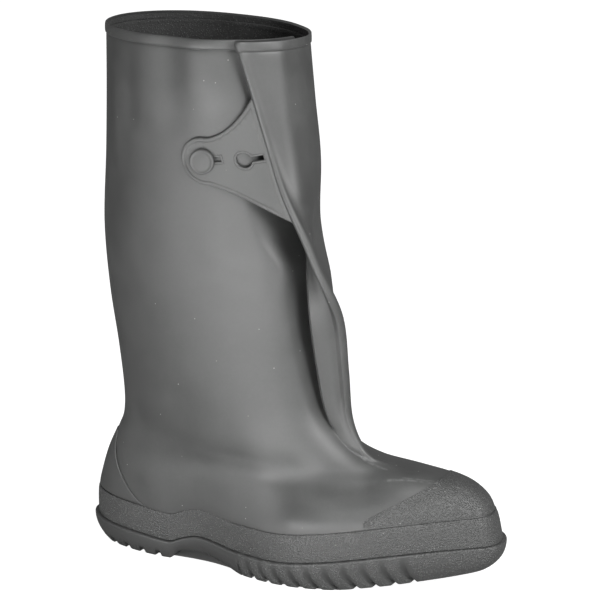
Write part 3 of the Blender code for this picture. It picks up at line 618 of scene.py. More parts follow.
def tread_cuts():
    """Cuts from heel to toe: place on the outline, zone, depth of the groove, split lugs and rib's valley."""
    cuts = []

    def add(turn, zone="plain", depth=0.0, split=0.0, valley=0.0):
        cuts.append({"turn": turn, "zone": zone, "depth": depth, "split": split, "valley": valley})

    for name, row in TREAD.items():
        tread = named(TREAD_COLUMNS, row)
        first_turn = lip_turn(tread["first_x"])
        if name == "heel":
            for share in np.linspace(0, 1, HEEL_END_CUTS)[:-1]:
                add(math.pi + (first_turn - math.pi) * share)
        else:
            for x in WAIST_STATIONS:
                add(lip_turn(x))
        for i in range(tread["rows"]):
            for share, depth in PITCH_CUTS:
                x = tread["first_x"] + (i + share) * tread["pitch"]
                off = min(abs(share - RIB_MIDDLE), abs(share + 1 - RIB_MIDDLE))
                valley = math.cos(math.pi / 2 * min(off / RIB_REACH, 1.0)) ** 2
                split = float(name == "forefoot" and i % 2 == 0 and share < LUG_SHARE)
                if x <= tread["last_x"]:
                    add(lip_turn(x), name, depth, split, valley)
    toe_turn = lip_turn(tread["first_x"] + tread["rows"] * tread["pitch"])
    for share in np.linspace(0, 1, TOE_END_CUTS):
        add(toe_turn * (1 - share))
    return cuts


print("cuts along the sole:", len(tread_cuts()))

# %% Side of the sole
SIDE_INSET = {
    "heel_back": (-165, 9), "heel_side": (-120, 6), "breast": (-85, 4), "joint": (-10, 6.5), "ball": (40, 9),
    "toe_tip": (165, 12),
}
# Steps up the rounded side as shares of its height, and how the inset and the ribs fade on the way up
SIDE_SHARES = (0.0, 0.03, 0.07, 0.12, 0.18, 0.25, 0.33, 0.42, 0.52, 0.62, 0.72, 0.82, 0.91)
SIDE_ROUND, END_PULL = 2.6, 5
RIB_DEPTH, RIB_WIDENS, RIB_FADE, HEEL_NOTCH_FADE = 3.4, (0.02, 0.3), (0.15, 0.9), (0.1, 0.4)
RIB_LEAN, LEAN_TOP, LEAN_FROM, LEAN_TO = 6.5, 0.7, (-45, 20), (105, 140)
# Rolled edge of the lip: distance in and drop, and then the insets of the rim and the bed
LIP_PROFILE = ((0.0, 1.8), (0.0, 1.0), (0.3, 0.3), (0.9, 0.0))
RIM_INSET, BED_INSET = 10.0, 11.5


def lip_inset(inset):
    """The outline of the sole, drawn in all round."""
    section = dict(LIP)
    section["back_x"] += inset
    section["front_x"] -= inset
    section["heel_half"] -= inset
    section["ball_half"] -= inset
    return section


def inset_turn(turn, inset):
    """Angle on the inset outline that keeps a cut square across the boot, except at the rounded ends."""
    half, cosine = SOLE_LENGTH / 2, math.cos(turn)
    return math.acos(np.clip((half * cosine - inset * cosine ** END_PULL) / (half - inset), -1.0, 1.0))


print("steps up the side:", len(SIDE_SHARES) + len(LIP_PROFILE))

# %% Loop across the sole at one cut
GROOVE_DEPTH, WAIST_MARGIN = 4.0, 2.0
# Grooves along the boot: where each lies as a share of the half-width, and its profile from side to side
LONG_GROOVES = {"split": 0.20, "edge": 0.66}
LONG_PROFILE = (
    (-0.10, 0), (-0.07, 0.02), (-0.055, 0.2), (-0.04, 0.85), (0, 1), (0.04, 0.85), (0.055, 0.2), (0.07, 0.02),
    (0.10, 0),
)


def sole_loop(cut):
    """Points round the sole at one cut, from the outer edge of the tread."""
    lip_x = SOLE_LENGTH / 2 * math.cos(cut["turn"])
    inset = float(height_at(SIDE_INSET, lip_x))
    ground = float(height_at(UNDERSIDE, lip_x))
    ribbed = cut["zone"] in TREAD and named(TREAD_COLUMNS, TREAD[cut["zone"]])["side_rib"]
    leaning = smoothstep(*LEAN_FROM, lip_x) * (1 - smoothstep(*LEAN_TO, lip_x))

    def side_point(side, in_by, z, groove=0.0, share=1.0):
        leant = lip_turn(lip_x - RIB_LEAN * leaning * (1 - (1 - min(share / LEAN_TOP, 1)) ** 2))
        x, y = plan_point(lip_inset(in_by), side * inset_turn(leant, in_by))
        return np.array([x, y + side * groove, z(float(x))], dtype=float)

    def ledge(x):
        return float(height_at(LEDGE, x))

    def side_points(side):
        points = []
        floor_z = ground + GROOVE_DEPTH * cut["depth"]
        for share in SIDE_SHARES:
            def height(x):
                return max(floor_z, ground + (ledge(x) - ground) * share)

            wide = smoothstep(*RIB_WIDENS, share)
            rib = (cut["depth"] * (1 - wide) + cut["valley"] * wide) * (1 - smoothstep(*RIB_FADE, share))
            notch = cut["depth"] * (1 - smoothstep(*HEEL_NOTCH_FADE, share))
            in_by = inset * (1 - share) ** SIDE_ROUND
            points.append(side_point(side, in_by, height, RIB_DEPTH * (rib if ribbed else notch), share))
        points += [side_point(side, in_by, lambda x: ledge(x) - drop) for in_by, drop in LIP_PROFILE]
        points.append(side_point(side, RIM_INSET, ledge))
        points.append(side_point(side, BED_INSET, lambda x: float(height_at(BED, x))))
        return points

    outer, inner = side_points(1), side_points(-1)
    centre, reach = (outer[0] + inner[0]) / 2, (inner[0] - outer[0]) / 2
    bottom = []
    half = [(place + off, depth, sort) for sort, place in LONG_GROOVES.items() for off, depth in LONG_PROFILE]
    for share, depth, sort in [(-share, depth, sort) for share, depth, sort in half[::-1]] + half:
        along = depth * (cut["split"] if sort == "split" else float(cut["zone"] != "plain"))
        spot = centre + reach * share
        bottom.append(np.array([spot[0], spot[1], ground + GROOVE_DEPTH * max(along, cut["depth"])]))
    return [outer[0]] + bottom + inner + outer[:0:-1]


def sole_plain(cut, loop):
    """1 where the sole is smooth: in its grooves, along heel and waist, and on its side between the ribs."""
    if cut["zone"] == "plain" and loop[0][0] > TREAD["forefoot"][1]:
        return np.zeros(len(loop))
    below = len(SIDE_SHARES) + len(LIP_PROFILE) + 2
    tread = len(loop) - 2 * below + 2
    plain = np.full(len(loop), 1.0 if cut["zone"] != "forefoot" else cut["valley"])
    deep = np.array([point[2] for point in loop[:tread]]) - min(point[2] for point in loop[:tread])
    plain[:tread] = np.clip(deep / GROOVE_DEPTH * 2, 0.0, 1.0)
    if cut["zone"] == "plain" and loop[0][0] > TREAD["heel"][1] + WAIST_MARGIN:
        plain[:tread] = 1.0
    return plain


print("points in one loop:", len(sole_loop(tread_cuts()[0])))

# %% Make the outsole
sole_points = np.array([sole_loop(cut) for cut in tread_cuts()])
sole_marks = np.array([sole_plain(cut, loop) for cut, loop in zip(tread_cuts(), sole_points)])
sole_net = wrapped_grid(sole_points, ring=True, marks={"plain": sole_marks})
outsole = make_piece("outsole_skin", sole_net, "outsole", sharp=50.0)

# %% [markdown]
# ## The frame under the waist
# The underside of the waist is smooth, and a low line is moulded on it round a bare panel. A flat grid is
# inset, its middle is taken out, and what is left is laid along the arch and given a thickness.

# %% Make the frame under the waist
FRAME_PLACE, FRAME_SIZE = (-51.0, -4.0), (22.0, 52.0)
FRAME_LINE, FRAME_RELIEF, FRAME_SUNK = 1.0, 0.6, 0.2
builder = bmesh.new()
bmesh.ops.create_grid(builder, x_segments=10, y_segments=1, size=0.5)
bmesh.ops.scale(builder, vec=(FRAME_SIZE[0] * MM, FRAME_SIZE[1] * MM, 1.0), verts=builder.verts)
bmesh.ops.translate(builder, vec=(FRAME_PLACE[0] * MM, FRAME_PLACE[1] * MM, 0.0), verts=builder.verts)
inset = bmesh.ops.inset_region(
    builder, faces=builder.faces[:], thickness=FRAME_LINE * MM, use_boundary=True, use_even_offset=True,
)
middle = [face for face in builder.faces if face not in inset["faces"]]
bmesh.ops.delete(builder, geom=middle, context="FACES")
for vertex in builder.verts:
    vertex.co.z = (float(height_at(UNDERSIDE, vertex.co.x / MM)) + FRAME_SUNK) * MM
bmesh.ops.solidify(builder, geom=builder.faces[:], thickness=FRAME_RELIEF * MM)
bmesh.ops.recalc_face_normals(builder, faces=builder.faces)
heights = [vertex.co.z / MM for vertex in builder.verts]
print("frame from", round(min(heights), 1), "to", round(max(heights), 1), "mm above the floor")
waist_frame = make_piece("waist_frame", builder, "outsole")

# %% [markdown]
# ## The strap and its button
# The strap is a flat tongue with a raised edge and two keyholes. It is drawn flat, as its mould is: an
# outline is filled, inset for the raised edge, and cut into strips so that it can bend. Only then is it
# wrapped on the shaft, with arc length across and height up. The button is a small profile spun round its
# own axis.

# %% Outline of the strap and its keyholes
STRAP_THICKNESS, STRAP_CLEAR, LIFT_RUN = 2.2, 0.7, 34.0
STRAP_ROOT_LOW, STRAP_ROOT_HIGH = 276.0, 367.0
STRAP_END, STRAP_END_RADIUS, STRAP_END_FROM, STRAP_END_TO = (88.5, 318.0), 17.5, 100.0, -98.0
STRAP_NECK, STRAP_WAIST = (66.0, 339.0), (56.5, 292.5)
BUTTON_PLACE = (89.5, 318.0)
KEYHOLES = {"fastened": BUTTON_PLACE, "spare": (59.0, 320.5)}
KEYHOLE_RADIUS, SLOT_HALF, SLOT_END, SLOT_LEAN = 5.5, 1.7, 14.0, 170.0
ROOT_STEPS, EDGE_STEPS, END_STEPS, KEYHOLE_STEPS = 28, 22, 37, 33


@functools.cache
def shaft_ring(z):
    return Ring(float(shaft_level(z)))


@functools.cache
def ridge_nose(z):
    """The tip of the fold's ridge at a height: arc length and distance out."""
    fold = shaft_ring(z).fold
    lean, radius = math.radians(fold["lean"]), fold["gap"] / 2
    along, up = math.cos(lean), math.sin(lean)
    arc = fold["valley"] - radius * up + along * fold["length"] + RIDGE_WIDTH / 2 * (1 - up)
    out = radius * (1 + along) + up * fold["length"] + RIDGE_WIDTH / 2 * along
    return arc, out


def bent_line(start, control, end):
    """A curve from start to end, drawn towards a control point; its last point is left out."""
    start, control, end = np.array(start), np.array(control), np.array(end)
    steps = np.linspace(0, 1, EDGE_STEPS + 1)[:-1]
    return [start * (1 - t) ** 2 + control * 2 * t * (1 - t) + end * t * t for t in steps]


def strap_outline():
    heights = np.linspace(STRAP_ROOT_LOW, STRAP_ROOT_HIGH, ROOT_STEPS)
    root = [np.array([ridge_nose(z)[0] + GAP, z]) for z in heights]
    angles = np.radians(np.linspace(STRAP_END_FROM, STRAP_END_TO, END_STEPS))
    end = [np.array(STRAP_END) + STRAP_END_RADIUS * np.array([math.cos(a), math.sin(a)]) for a in angles]
    neck, waist = bent_line(root[-1], STRAP_NECK, end[0]), bent_line(end[-1], STRAP_WAIST, root[0])
    return root[:-1] + neck + end[:-1] + waist


def keyhole_outline(centre):
    lean, mouth = math.radians(SLOT_LEAN), math.asin(SLOT_HALF / KEYHOLE_RADIUS)
    angles = np.linspace(lean + mouth, lean + 2 * math.pi - mouth, KEYHOLE_STEPS)
    points = [KEYHOLE_RADIUS * np.array([math.cos(a), math.sin(a)]) for a in angles]
    along = np.array([math.cos(lean), math.sin(lean)])
    across = np.array([-along[1], along[0]])
    points += [along * SLOT_END - across * SLOT_HALF, along * SLOT_END + across * SLOT_HALF]
    return [np.array(centre) + point for point in points]


print("strap outline:", len(strap_outline()), "points")

# %% Make the strap
# Edge of the strap and of its keyholes: how far in from the outline, and the height there
STRAP_EDGE = ((0.0, 1.5), (0.25, 1.95), (0.7, 2.2), (2.3, 2.2), (2.7, 2.0), (3.1, 1.65))
KEYHOLE_EDGE = ((0.0, 1.3), (0.3, 1.65), (1.3, 1.65), (1.5, 1.35), (1.8, 1.35), (2.0, 1.65))
BEND_CUTS = {"along": (30.0, 107.0, 3.0), "up": (277.0, 367.0, 4.0)}
KEPT_SHARE = 0.98


def inset_loop(outline, inset):
    """A closed outline moved in to its right side, without the points that a sharp corner swallows."""
    points = np.array(outline)
    run = np.roll(points, -1, axis=0) - points
    right = np.stack([run[:, 1], -run[:, 0]], axis=-1) / np.linalg.norm(run, axis=1)[:, None]
    before = np.roll(right, 1, axis=0)
    moved = points + inset * (right + before) / (1 + np.sum(right * before, axis=1))[:, None]
    reach = moved[:, None] - points[None]
    share = np.clip(np.sum(reach * run[None], axis=2) / np.sum(run * run, axis=1), 0.0, 1.0)
    away = np.linalg.norm(reach - share[..., None] * run[None], axis=2).min(axis=1)
    return moved[away > KEPT_SHARE * inset - MERGE]


def strap_lift(arc, z):
    """How far the strap's inner face stands off the quarter: it climbs to the ridge at its root."""
    nose_arc, nose_out = ridge_nose(z)
    at_root = max(nose_out - STRAP_THICKNESS / 2, STRAP_CLEAR)
    return STRAP_CLEAR + (at_root - STRAP_CLEAR) * (1 - smoothstep(0.0, LIFT_RUN, arc - nose_arc))


builder = bmesh.new()
top = builder.verts.layers.float.new("top")
inmost = []
edged = [(keyhole_outline(spot), KEYHOLE_EDGE) for spot in KEYHOLES.values()]
for outline, profile in [(strap_outline(), STRAP_EDGE)] + edged:
    previous = None
    for inset, height in profile:
        loop = [builder.verts.new((*point, 0.0)) for point in inset_loop(outline, inset)]
        for vertex in loop:
            vertex[top] = height
        edges = [builder.edges.new(pair) for pair in zip(loop, loop[1:] + loop[:1])]
        if previous:
            bmesh.ops.triangle_fill(builder, use_beauty=True, use_dissolve=False, edges=previous + edges)
        previous = edges
    inmost += previous
bmesh.ops.triangle_fill(builder, use_beauty=True, use_dissolve=False, edges=inmost)
for axis, (low, high, spacing) in enumerate(BEND_CUTS.values()):
    normal = Vector((1.0 - axis, float(axis), 0.0))
    for place in np.arange(low, high, spacing):
        everything = list(builder.verts) + list(builder.edges) + list(builder.faces)
        bmesh.ops.bisect_plane(builder, geom=everything, plane_co=normal * place, plane_no=normal, dist=MERGE)
grown = bmesh.ops.extrude_face_region(builder, geom=list(builder.faces), use_keep_orig=True)["geom"]
for item in grown:
    if isinstance(item, bmesh.types.BMVert):
        item.co.z = item[top]
for vertex in builder.verts:
    arc, z, out = vertex.co
    z = round(z, 2)
    vertex.co = Vector(shaft_ring(z).at(arc, out + strap_lift(arc, z))) * MM
bmesh.ops.recalc_face_normals(builder, faces=builder.faces)
strap = make_piece("strap_skin", builder, "strap")

# %% Make the button
# Radius and height along the neck, the rolled edge of the head and its face
BUTTON_PROFILE = (
    (0.0, 0.0), (4.2, 0.0), (4.2, 3.1), (8.7, 3.1), (9.2, 3.25), (9.45, 3.6), (9.5, 4.1), (9.45, 4.7),
    (9.2, 5.25), (8.8, 5.6), (8.3, 5.75), (7.8, 5.7), (7.4, 5.45), (7.1, 5.35), (6.0, 5.45), (4.5, 5.6),
    (2.4, 5.7), (0.0, 5.72),
)
BUTTON_STEPS, BUTTON_MERGE = 72, 0.01
builder = bmesh.new()
dots = [builder.verts.new((radius * MM, 0.0, height * MM)) for radius, height in BUTTON_PROFILE]
lines = [builder.edges.new(pair) for pair in zip(dots[:-1], dots[1:])]
bmesh.ops.spin(
    builder, geom=dots + lines, cent=(0, 0, 0), axis=(0, 0, 1), angle=2 * math.pi, steps=BUTTON_STEPS,
    use_merge=True,
)
bmesh.ops.remove_doubles(builder, verts=builder.verts, dist=BUTTON_MERGE * MM)
bmesh.ops.recalc_face_normals(builder, faces=builder.faces)
ring = shaft_ring(BUTTON_PLACE[1])
seat = Vector(ring.at(BUTTON_PLACE[0], GAP)) * MM
axis = Vector(ring.at(BUTTON_PLACE[0], 1.0) - ring.at(BUTTON_PLACE[0], 0.0)).normalized()
turn = axis.to_track_quat("Z", "Y").to_matrix().to_4x4()
bmesh.ops.transform(builder, matrix=Matrix.Translation(seat) @ turn, verts=builder.verts)
button = make_piece("button_skin", builder, "button", sharp=35.0)

# %% [markdown]
# ## Finishes
# All of it is one black-grey rubber, yet no two areas look alike: the shaft is satin from a smooth mould,
# the band, toe and sole are pebbled, and the inside is rough. The shared effects are node groups: a cloudy
# bloom with specks of dust, a fine moulded skin, and a pebble grain. Each material joins them with its own
# values.

# %% Helpers for nodes
def add_node(tree, kind, values=None, **settings):
    made = tree.nodes.new(kind)
    for key, value in settings.items():
        setattr(made, key, value)
    for key, value in (values or {}).items():
        if isinstance(value, bpy.types.NodeSocket):
            tree.links.new(value, made.inputs[key])
        else:
            made.inputs[key].default_value = value
    return made


def math_node(tree, operation, a, b=0.0, clamp=False):
    return add_node(tree, "ShaderNodeMath", {0: a, 1: b}, operation=operation, use_clamp=clamp).outputs[0]


def vector_node(tree, operation, a, b, output=0):
    return add_node(tree, "ShaderNodeVectorMath", {0: a, 1: b}, operation=operation).outputs[output]


def scaled(tree, vector, scale):
    return add_node(tree, "ShaderNodeVectorMath", {0: vector, "Scale": scale}, operation="SCALE").outputs[0]


def weighed(tree, a, b, share):
    """A share of one value and the rest of another."""
    first, rest = math_node(tree, "MULTIPLY", a, share), math_node(tree, "MULTIPLY", b, 1 - share)
    return math_node(tree, "ADD", first, rest)


def ramp(tree, value, low, high):
    """0 below low, 1 above high, with a smooth step between."""
    values = {"Value": value, "From Min": low, "From Max": high}
    return add_node(tree, "ShaderNodeMapRange", values, interpolation_type="SMOOTHSTEP").outputs["Result"]


def mix_colour(tree, share, a, b):
    return add_node(tree, "ShaderNodeMix", {0: share, 6: a, 7: b}, data_type="RGBA").outputs[2]


def noise(tree, place, scale, detail=2.0, roughness=0.5):
    values = {"Vector": place, "Scale": scale, "Detail": detail, "Roughness": roughness}
    return add_node(tree, "ShaderNodeTexNoise", values).outputs[0]


def new_group(name, inputs, outputs):
    """A shader node group with named sockets, given as name and socket type."""
    tree = bpy.data.node_groups.new(name, "ShaderNodeTree")
    for label, kind in inputs:
        tree.interface.new_socket(label, in_out="INPUT", socket_type=kind)
    for label, kind in outputs:
        tree.interface.new_socket(label, in_out="OUTPUT", socket_type=kind)
    start, end = tree.nodes.new("NodeGroupInput"), tree.nodes.new("NodeGroupOutput")
    place = add_node(tree, "ShaderNodeTexCoord").outputs["Object"]
    return tree, start.outputs, end.inputs, place


NUMBER, COLOUR, VECTOR = "NodeSocketFloat", "NodeSocketColor", "NodeSocketVector"
print("node helpers ready")

# %% Bloom and dust
BROAD_CLOUDS, FINE_CLOUDS, BROAD_SHARE, CLOUD_EDGES = 34.0, 420.0, 0.6, (0.35, 0.68)
DUST_SCALE, DUST_LOT, DUST_EDGES, DUST_COLOUR = 120.0, 0.72, (0.035, 0.065), (0.32, 0.32, 0.31, 1.0)
bloom, given, out, place = new_group(
    "bloom_and_dust", [("Rubber", COLOUR), ("Bloom", COLOUR), ("Cloud", NUMBER), ("Dust", NUMBER)],
    [("Color", COLOUR), ("Cloudiness", NUMBER)],
)
broad = noise(bloom, place, BROAD_CLOUDS, 5.0, 0.6)
fine = noise(bloom, place, FINE_CLOUDS, 4.0, 0.7)
clouds = ramp(bloom, weighed(bloom, broad, fine, BROAD_SHARE), *CLOUD_EDGES)
clouded = math_node(bloom, "MULTIPLY", clouds, given["Cloud"])
tinted = mix_colour(bloom, clouded, given["Rubber"], given["Bloom"])
cells = add_node(bloom, "ShaderNodeTexVoronoi", {"Vector": place, "Scale": DUST_SCALE}).outputs
lot = add_node(bloom, "ShaderNodeSeparateColor", {0: cells["Color"]}).outputs[0]
chosen = math_node(bloom, "GREATER_THAN", lot, DUST_LOT)
specks = math_node(bloom, "SUBTRACT", 1.0, ramp(bloom, cells["Distance"], *DUST_EDGES))
dust = math_node(bloom, "MULTIPLY", math_node(bloom, "MULTIPLY", specks, chosen), given["Dust"], clamp=True)
bloom.links.new(mix_colour(bloom, dust, tinted, DUST_COLOUR), out["Color"])
bloom.links.new(clouds, out["Cloudiness"])
print("group:", bloom.name)

# %% Moulded skin and pebble grain
RIPPLE_SCALE, GRAIN_SHARE = 55.0, 0.35
WARP_SCALE, WARP_REACH, PEBBLE_SOFT = 500.0, 1.1, 0.35
# Edges of the pebbles' height, then of their crowns, which get a painted highlight
PEBBLE_EDGES, HIGHLIGHT_EDGES = (0.05, 0.62), (0.62, 1.0)
skin, given, out, place = new_group("moulded_skin", [("Fineness", NUMBER)], [("Height", NUMBER)])
grain = noise(skin, place, given["Fineness"], 2.0, 0.55)
ripple = noise(skin, place, RIPPLE_SCALE)
skin.links.new(weighed(skin, grain, ripple, GRAIN_SHARE), out["Height"])

pebbles, given, out, place = new_group(
    "pebble_grain", [("Fineness", NUMBER)], [("Height", NUMBER), ("Painted Highlight", NUMBER)],
)
warp = add_node(pebbles, "ShaderNodeTexNoise", {"Vector": place, "Scale": WARP_SCALE, "Detail": 2.0})
spot = vector_node(pebbles, "ADD", place, scaled(pebbles, warp.outputs["Color"], WARP_REACH * MM))
values = {"Vector": spot, "Scale": given["Fineness"], "Smoothness": PEBBLE_SOFT}
stones = add_node(pebbles, "ShaderNodeTexVoronoi", values, feature="SMOOTH_F1")
crown = math_node(pebbles, "SUBTRACT", 1.0, ramp(pebbles, stones.outputs["Distance"], *PEBBLE_EDGES))
pebbles.links.new(crown, out["Height"])
# This mask only colours: the crowns of the pebbles are painted paler as a painted highlight
pebbles.links.new(ramp(pebbles, crown, *HIGHLIGHT_EDGES), out["Painted Highlight"])
print("groups:", skin.name, pebbles.name)

# %% [markdown]
# ## Scuffs
# The toe has a few pale streaks where it was dragged along a step. They are too thin for the mesh, so a
# group measures how far each spot is from a line, seen from above, and lets a little noise break the streak
# up.

# %% Scuff lines
BREAK_SCALE, BREAK_EDGES = 260.0, (0.3, 0.75)
scuff, given, out, place = new_group(
    "scuff_line", [("Start", VECTOR), ("End", VECTOR), ("Width", NUMBER)], [("Mask", NUMBER)],
)
level_place = vector_node(scuff, "MULTIPLY", place, (1.0, 1.0, 0.0))
run = vector_node(scuff, "SUBTRACT", given["End"], given["Start"])
reach = vector_node(scuff, "SUBTRACT", level_place, given["Start"])
length = vector_node(scuff, "DOT_PRODUCT", run, run, "Value")
share = math_node(scuff, "DIVIDE", vector_node(scuff, "DOT_PRODUCT", reach, run, "Value"), length, clamp=True)
away = vector_node(scuff, "DISTANCE", reach, scaled(scuff, run, share), "Value")
near = math_node(scuff, "SUBTRACT", 1.0, math_node(scuff, "DIVIDE", away, given["Width"]), clamp=True)
broken = ramp(scuff, noise(scuff, place, BREAK_SCALE, 3.0, 0.6), *BREAK_EDGES)
scuff.links.new(math_node(scuff, "MULTIPLY", near, broken), out["Mask"])

# Start and end of each streak from above, and its width
SCUFFS = {
    "crest_rub": ((60, -9), (79, -6.5), 1.6),
    "long_streak": ((84, -15), (117, 1), 1.3),
    "second_streak": ((93, -9), (114, 1.5), 0.9),
    "toe_nick": ((131, 6), (140, 8.5), 0.9),
}


def scuff_mask(tree):
    """The strongest of all the streaks."""
    mask = 0.0
    for start, end, width in SCUFFS.values():
        ends = {"Start": (start[0] * MM, start[1] * MM, 0.0), "End": (end[0] * MM, end[1] * MM, 0.0)}
        streak = add_node(tree, "ShaderNodeGroup", {**ends, "Width": width * MM}, node_tree=scuff)
        mask = math_node(tree, "MAXIMUM", streak.outputs["Mask"], mask)
    return mask


print("scuffs:", len(SCUFFS))

# %% [markdown]
# ## One recipe, several rubbers
# A material is the same recipe each time: bloom and dust for its colour, the cloudiness for its roughness,
# and one of the grains for its bump. The crowns of the pebbles are painted paler, a painted highlight. A
# mark stored on the sole's mesh keeps its grooves smooth and grey, a little darker as painted shade.

# %% Recipes of the rubbers
RUBBER_COLUMNS = (
    "rubber", "bloom", "cloud", "dust", "grain", "fineness", "relief", "crown", "low_rough", "high_rough",
    "scuffed",
)
# The crown value is the paler grey of a painted highlight on the crowns of the pebbles
RUBBERS = {
    "satin_rubber": (0.038, 0.066, 0.55, 0.9, "moulded_skin", 1500.0, 0.10, 0.0, 0.48, 0.60, True),
    "pebbled_rubber": (0.037, 0.056, 0.5, 0.7, "pebble_grain", 900.0, 0.7, 0.20, 0.50, 0.62, True),
    "sole_rubber": (0.040, 0.060, 0.5, 0.5, "pebble_grain", 860.0, 0.7, 0.20, 0.50, 0.62, False),
    "tab_rubber": (0.054, 0.080, 0.5, 0.6, "moulded_skin", 1300.0, 0.08, 0.0, 0.56, 0.66, False),
    "inside_rubber": (0.010, 0.034, 0.9, 0.7, "pebble_grain", 800.0, 0.6, 0.10, 0.80, 0.95, False),
}
# The groove grey is the smooth rubber of the grooves and the waist, painted a little darker as painted shade
RUB_COLOUR, GROOVE_TONE_AND_SHADE, GREEN_CAST = 0.13, 0.030, 1.02
BUMP_STRENGTH, SHEEN_LEVEL = 0.8, 0.85


def grey(value):
    return (value, value * GREEN_CAST, value, 1.0)


def make_rubber(name):
    recipe = named(RUBBER_COLUMNS, RUBBERS[name])
    material = bpy.data.materials.new(name)
    material.use_nodes = True
    tree, groups = material.node_tree, bpy.data.node_groups
    shader = tree.nodes["Principled BSDF"]
    values = {"Rubber": grey(recipe["rubber"]), "Bloom": grey(recipe["bloom"])}
    values.update({"Cloud": recipe["cloud"], "Dust": recipe["dust"]})
    tone = add_node(tree, "ShaderNodeGroup", values, node_tree=groups["bloom_and_dust"]).outputs
    values = {"Fineness": recipe["fineness"]}
    grain = add_node(tree, "ShaderNodeGroup", values, node_tree=groups[recipe["grain"]]).outputs
    bare = add_node(tree, "ShaderNodeAttribute", attribute_name="plain").outputs["Fac"]
    grained = math_node(tree, "SUBTRACT", 1.0, bare)
    colour = tone["Color"]
    if recipe["crown"]:
        # Painted highlight: the crowns of the pebbles are made paler
        painted_highlights = math_node(tree, "MULTIPLY", grain["Painted Highlight"], grained)
        colour = mix_colour(tree, painted_highlights, colour, grey(recipe["crown"]))
        # Smooth grooves and waist: their own smooth rubber, darkened a little as painted shade
        colour = mix_colour(tree, bare, colour, grey(GROOVE_TONE_AND_SHADE))
    if recipe["scuffed"]:
        colour = mix_colour(tree, scuff_mask(tree), colour, grey(RUB_COLOUR))
    values = {"Value": tone["Cloudiness"], "To Min": recipe["low_rough"], "To Max": recipe["high_rough"]}
    rough = add_node(tree, "ShaderNodeMapRange", values).outputs["Result"]
    values = {"Height": math_node(tree, "MULTIPLY", grain["Height"], grained)}
    values.update({"Strength": BUMP_STRENGTH, "Distance": recipe["relief"] * MM})
    bump = add_node(tree, "ShaderNodeBump", values).outputs["Normal"]
    for socket, value in {"Base Color": colour, "Roughness": rough, "Normal": bump}.items():
        tree.links.new(value, shader.inputs[socket])
    shader.inputs["Specular IOR Level"].default_value = SHEEN_LEVEL
    return material


print("recipes:", len(RUBBERS))

# %% Give each piece its rubber
FINISHES = {
    "satin_rubber": (upper, heel_counter), "pebbled_rubber": (band, toe_cap),
    "sole_rubber": (outsole, waist_frame), "tab_rubber": (strap, button),
}
rubbers = {name: make_rubber(name) for name in RUBBERS}
for name, pieces in FINISHES.items():
    for piece in pieces:
        piece.data.materials.append(rubbers[name])
upper.data.materials.append(rubbers["inside_rubber"])
print("finishes:", ", ".join(rubbers))

# %% [markdown]
# ## The floor
# The boot stands on a pale floor that fills the picture. It glows for the camera alone, so it comes out
# white without lighting the boot. Under the sole lies a patch without that glow, which lets the grooves
# stay dark.

# %% Lay the floor
FLOOR_HALF, FLOOR_GREY, FLOOR_ROUGH, FLOOR_GLOW = 9.0, 0.4, 0.9, 0.95
SHADE_INSET, SHADE_HEIGHT, SHADE_END, SHADE_STEPS = 11.0, 0.05, 62.0, 97
WHITE = (1.0, 1.0, 1.0, 1.0)


def floor_material(name, glow):
    material = bpy.data.materials.new(name)
    material.use_nodes = True
    tree = material.node_tree
    shader = tree.nodes["Principled BSDF"].inputs
    shader["Base Color"].default_value = (FLOOR_GREY, FLOOR_GREY, FLOOR_GREY, 1.0)
    shader["Roughness"].default_value = FLOOR_ROUGH
    shader["Emission Color"].default_value = WHITE
    seen = add_node(tree, "ShaderNodeLightPath").outputs["Is Camera Ray"]
    tree.links.new(math_node(tree, "MULTIPLY", seen, glow), shader["Emission Strength"])
    return material


floor_net = bmesh.new()
bmesh.ops.create_grid(floor_net, x_segments=8, y_segments=8, size=FLOOR_HALF)
floor = new_object("floor", new_mesh("floor", floor_net))
floor.data.materials.append(floor_material("pale_floor", FLOOR_GLOW))

shade = bmesh.new()
edge = [plan_point(lip_inset(SHADE_INSET), turn) for turn in np.linspace(-math.pi, math.pi, SHADE_STEPS)[:-1]]
rim = [shade.verts.new((x * MM, y * MM, SHADE_HEIGHT * MM)) for x, y in edge if x < SHADE_END]
bmesh.ops.contextual_create(shade, geom=rim)
bmesh.ops.recalc_face_normals(shade, faces=shade.faces)
patch = new_object("shaded_floor", new_mesh("shaded_floor", shade))
patch.data.materials.append(floor_material("shaded_floor", 0.0))
print("floor", 2 * FLOOR_HALF, "m wide, shaded under", len(rim), "points of the sole's outline")

# %% [markdown]
# ## The lights
# A tall soft light at the right draws the long highlight down the shaft. A low card on the floor in front
# lifts the quarter and the band, and two weak ones open up the left. The rest is an even glow from all
# round.

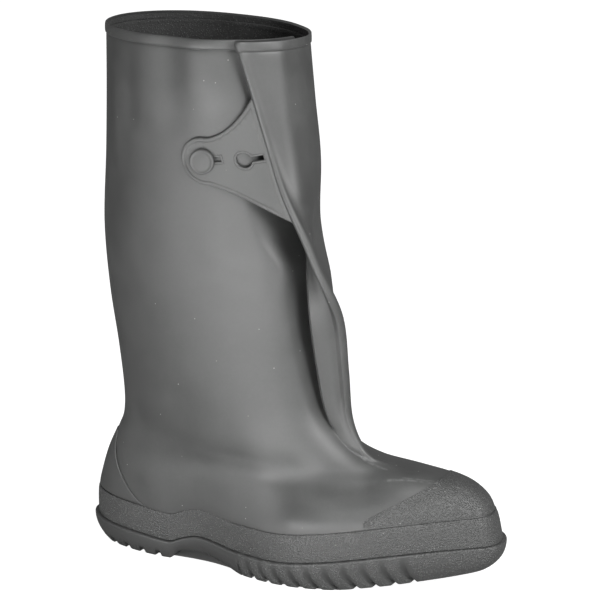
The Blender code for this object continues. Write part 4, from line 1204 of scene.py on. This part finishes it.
# %% Set the lights
LIGHT_COLUMNS = ("place", "aim", "width", "height", "power")
LIGHTS = {
    "tall_right": ((1450, -680, 1150), (0, 0, 220), 700, 1600, 40.5),
    "floor_front": ((60, -620, 3), (0, -120, 220), 700, 420, 8.8),
    "floor_left": ((-330, -420, 3), (-100, -120, 260), 560, 420, 0.7),
    "low_left": ((-500, -1300, 200), (0, 0, 200), 500, 400, 1.3),
}
ROUND_GLOW = 0.27


def aimed(place, aim):
    """A matrix at a place that looks at an aim, along its own -Z as cameras and lights do."""
    direction = Vector(aim) - Vector(place)
    turn = direction.to_track_quat("-Z", "Y").to_matrix().to_4x4()
    return Matrix.Translation(Vector(place) * MM) @ turn


for name, row in LIGHTS.items():
    light = named(LIGHT_COLUMNS, row)
    lamp = bpy.data.lights.new(name, "AREA")
    lamp.shape = "RECTANGLE"
    lamp.size = light["width"] * MM
    lamp.size_y = light["height"] * MM
    lamp.energy = light["power"]
    stand = new_object(name, lamp)
    stand.matrix_world = aimed(light["place"], light["aim"])
    stand.visible_camera = False

world = bpy.data.worlds.new("studio")
world.use_nodes = True
sky = world.node_tree.nodes["Background"].inputs
sky["Color"].default_value = WHITE
sky["Strength"].default_value = ROUND_GLOW
bpy.context.scene.world = world
print("lights:", ", ".join(LIGHTS))

# %% [markdown]
# ## The camera
# The camera stands well back with a long lens. It is higher than the collar and looks down on the outer
# side, so that the rim shows as an oval. A slight roll sets the sole at the right slant in the picture.

# %% Set the camera
CAMERA_PLACE, CAMERA_AIM, CAMERA_ROLL = (919.1, -2000.1, 804.5), (2.7, 1.2, 206.7), 0.83
LENS, SENSOR, FAR = 183.4, 36.0, 50.0
lens = bpy.data.cameras.new("camera")
lens.lens = LENS
lens.sensor_width = SENSOR
lens.clip_end = FAR
camera = new_object("camera", lens)
camera.matrix_world = aimed(CAMERA_PLACE, CAMERA_AIM) @ Matrix.Rotation(math.radians(CAMERA_ROLL), 4, "Z")
bpy.context.scene.camera = camera
bpy.context.scene.view_settings.view_transform = "Standard"
print("camera", round(math.dist(CAMERA_PLACE, CAMERA_AIM)), "mm from the boot")
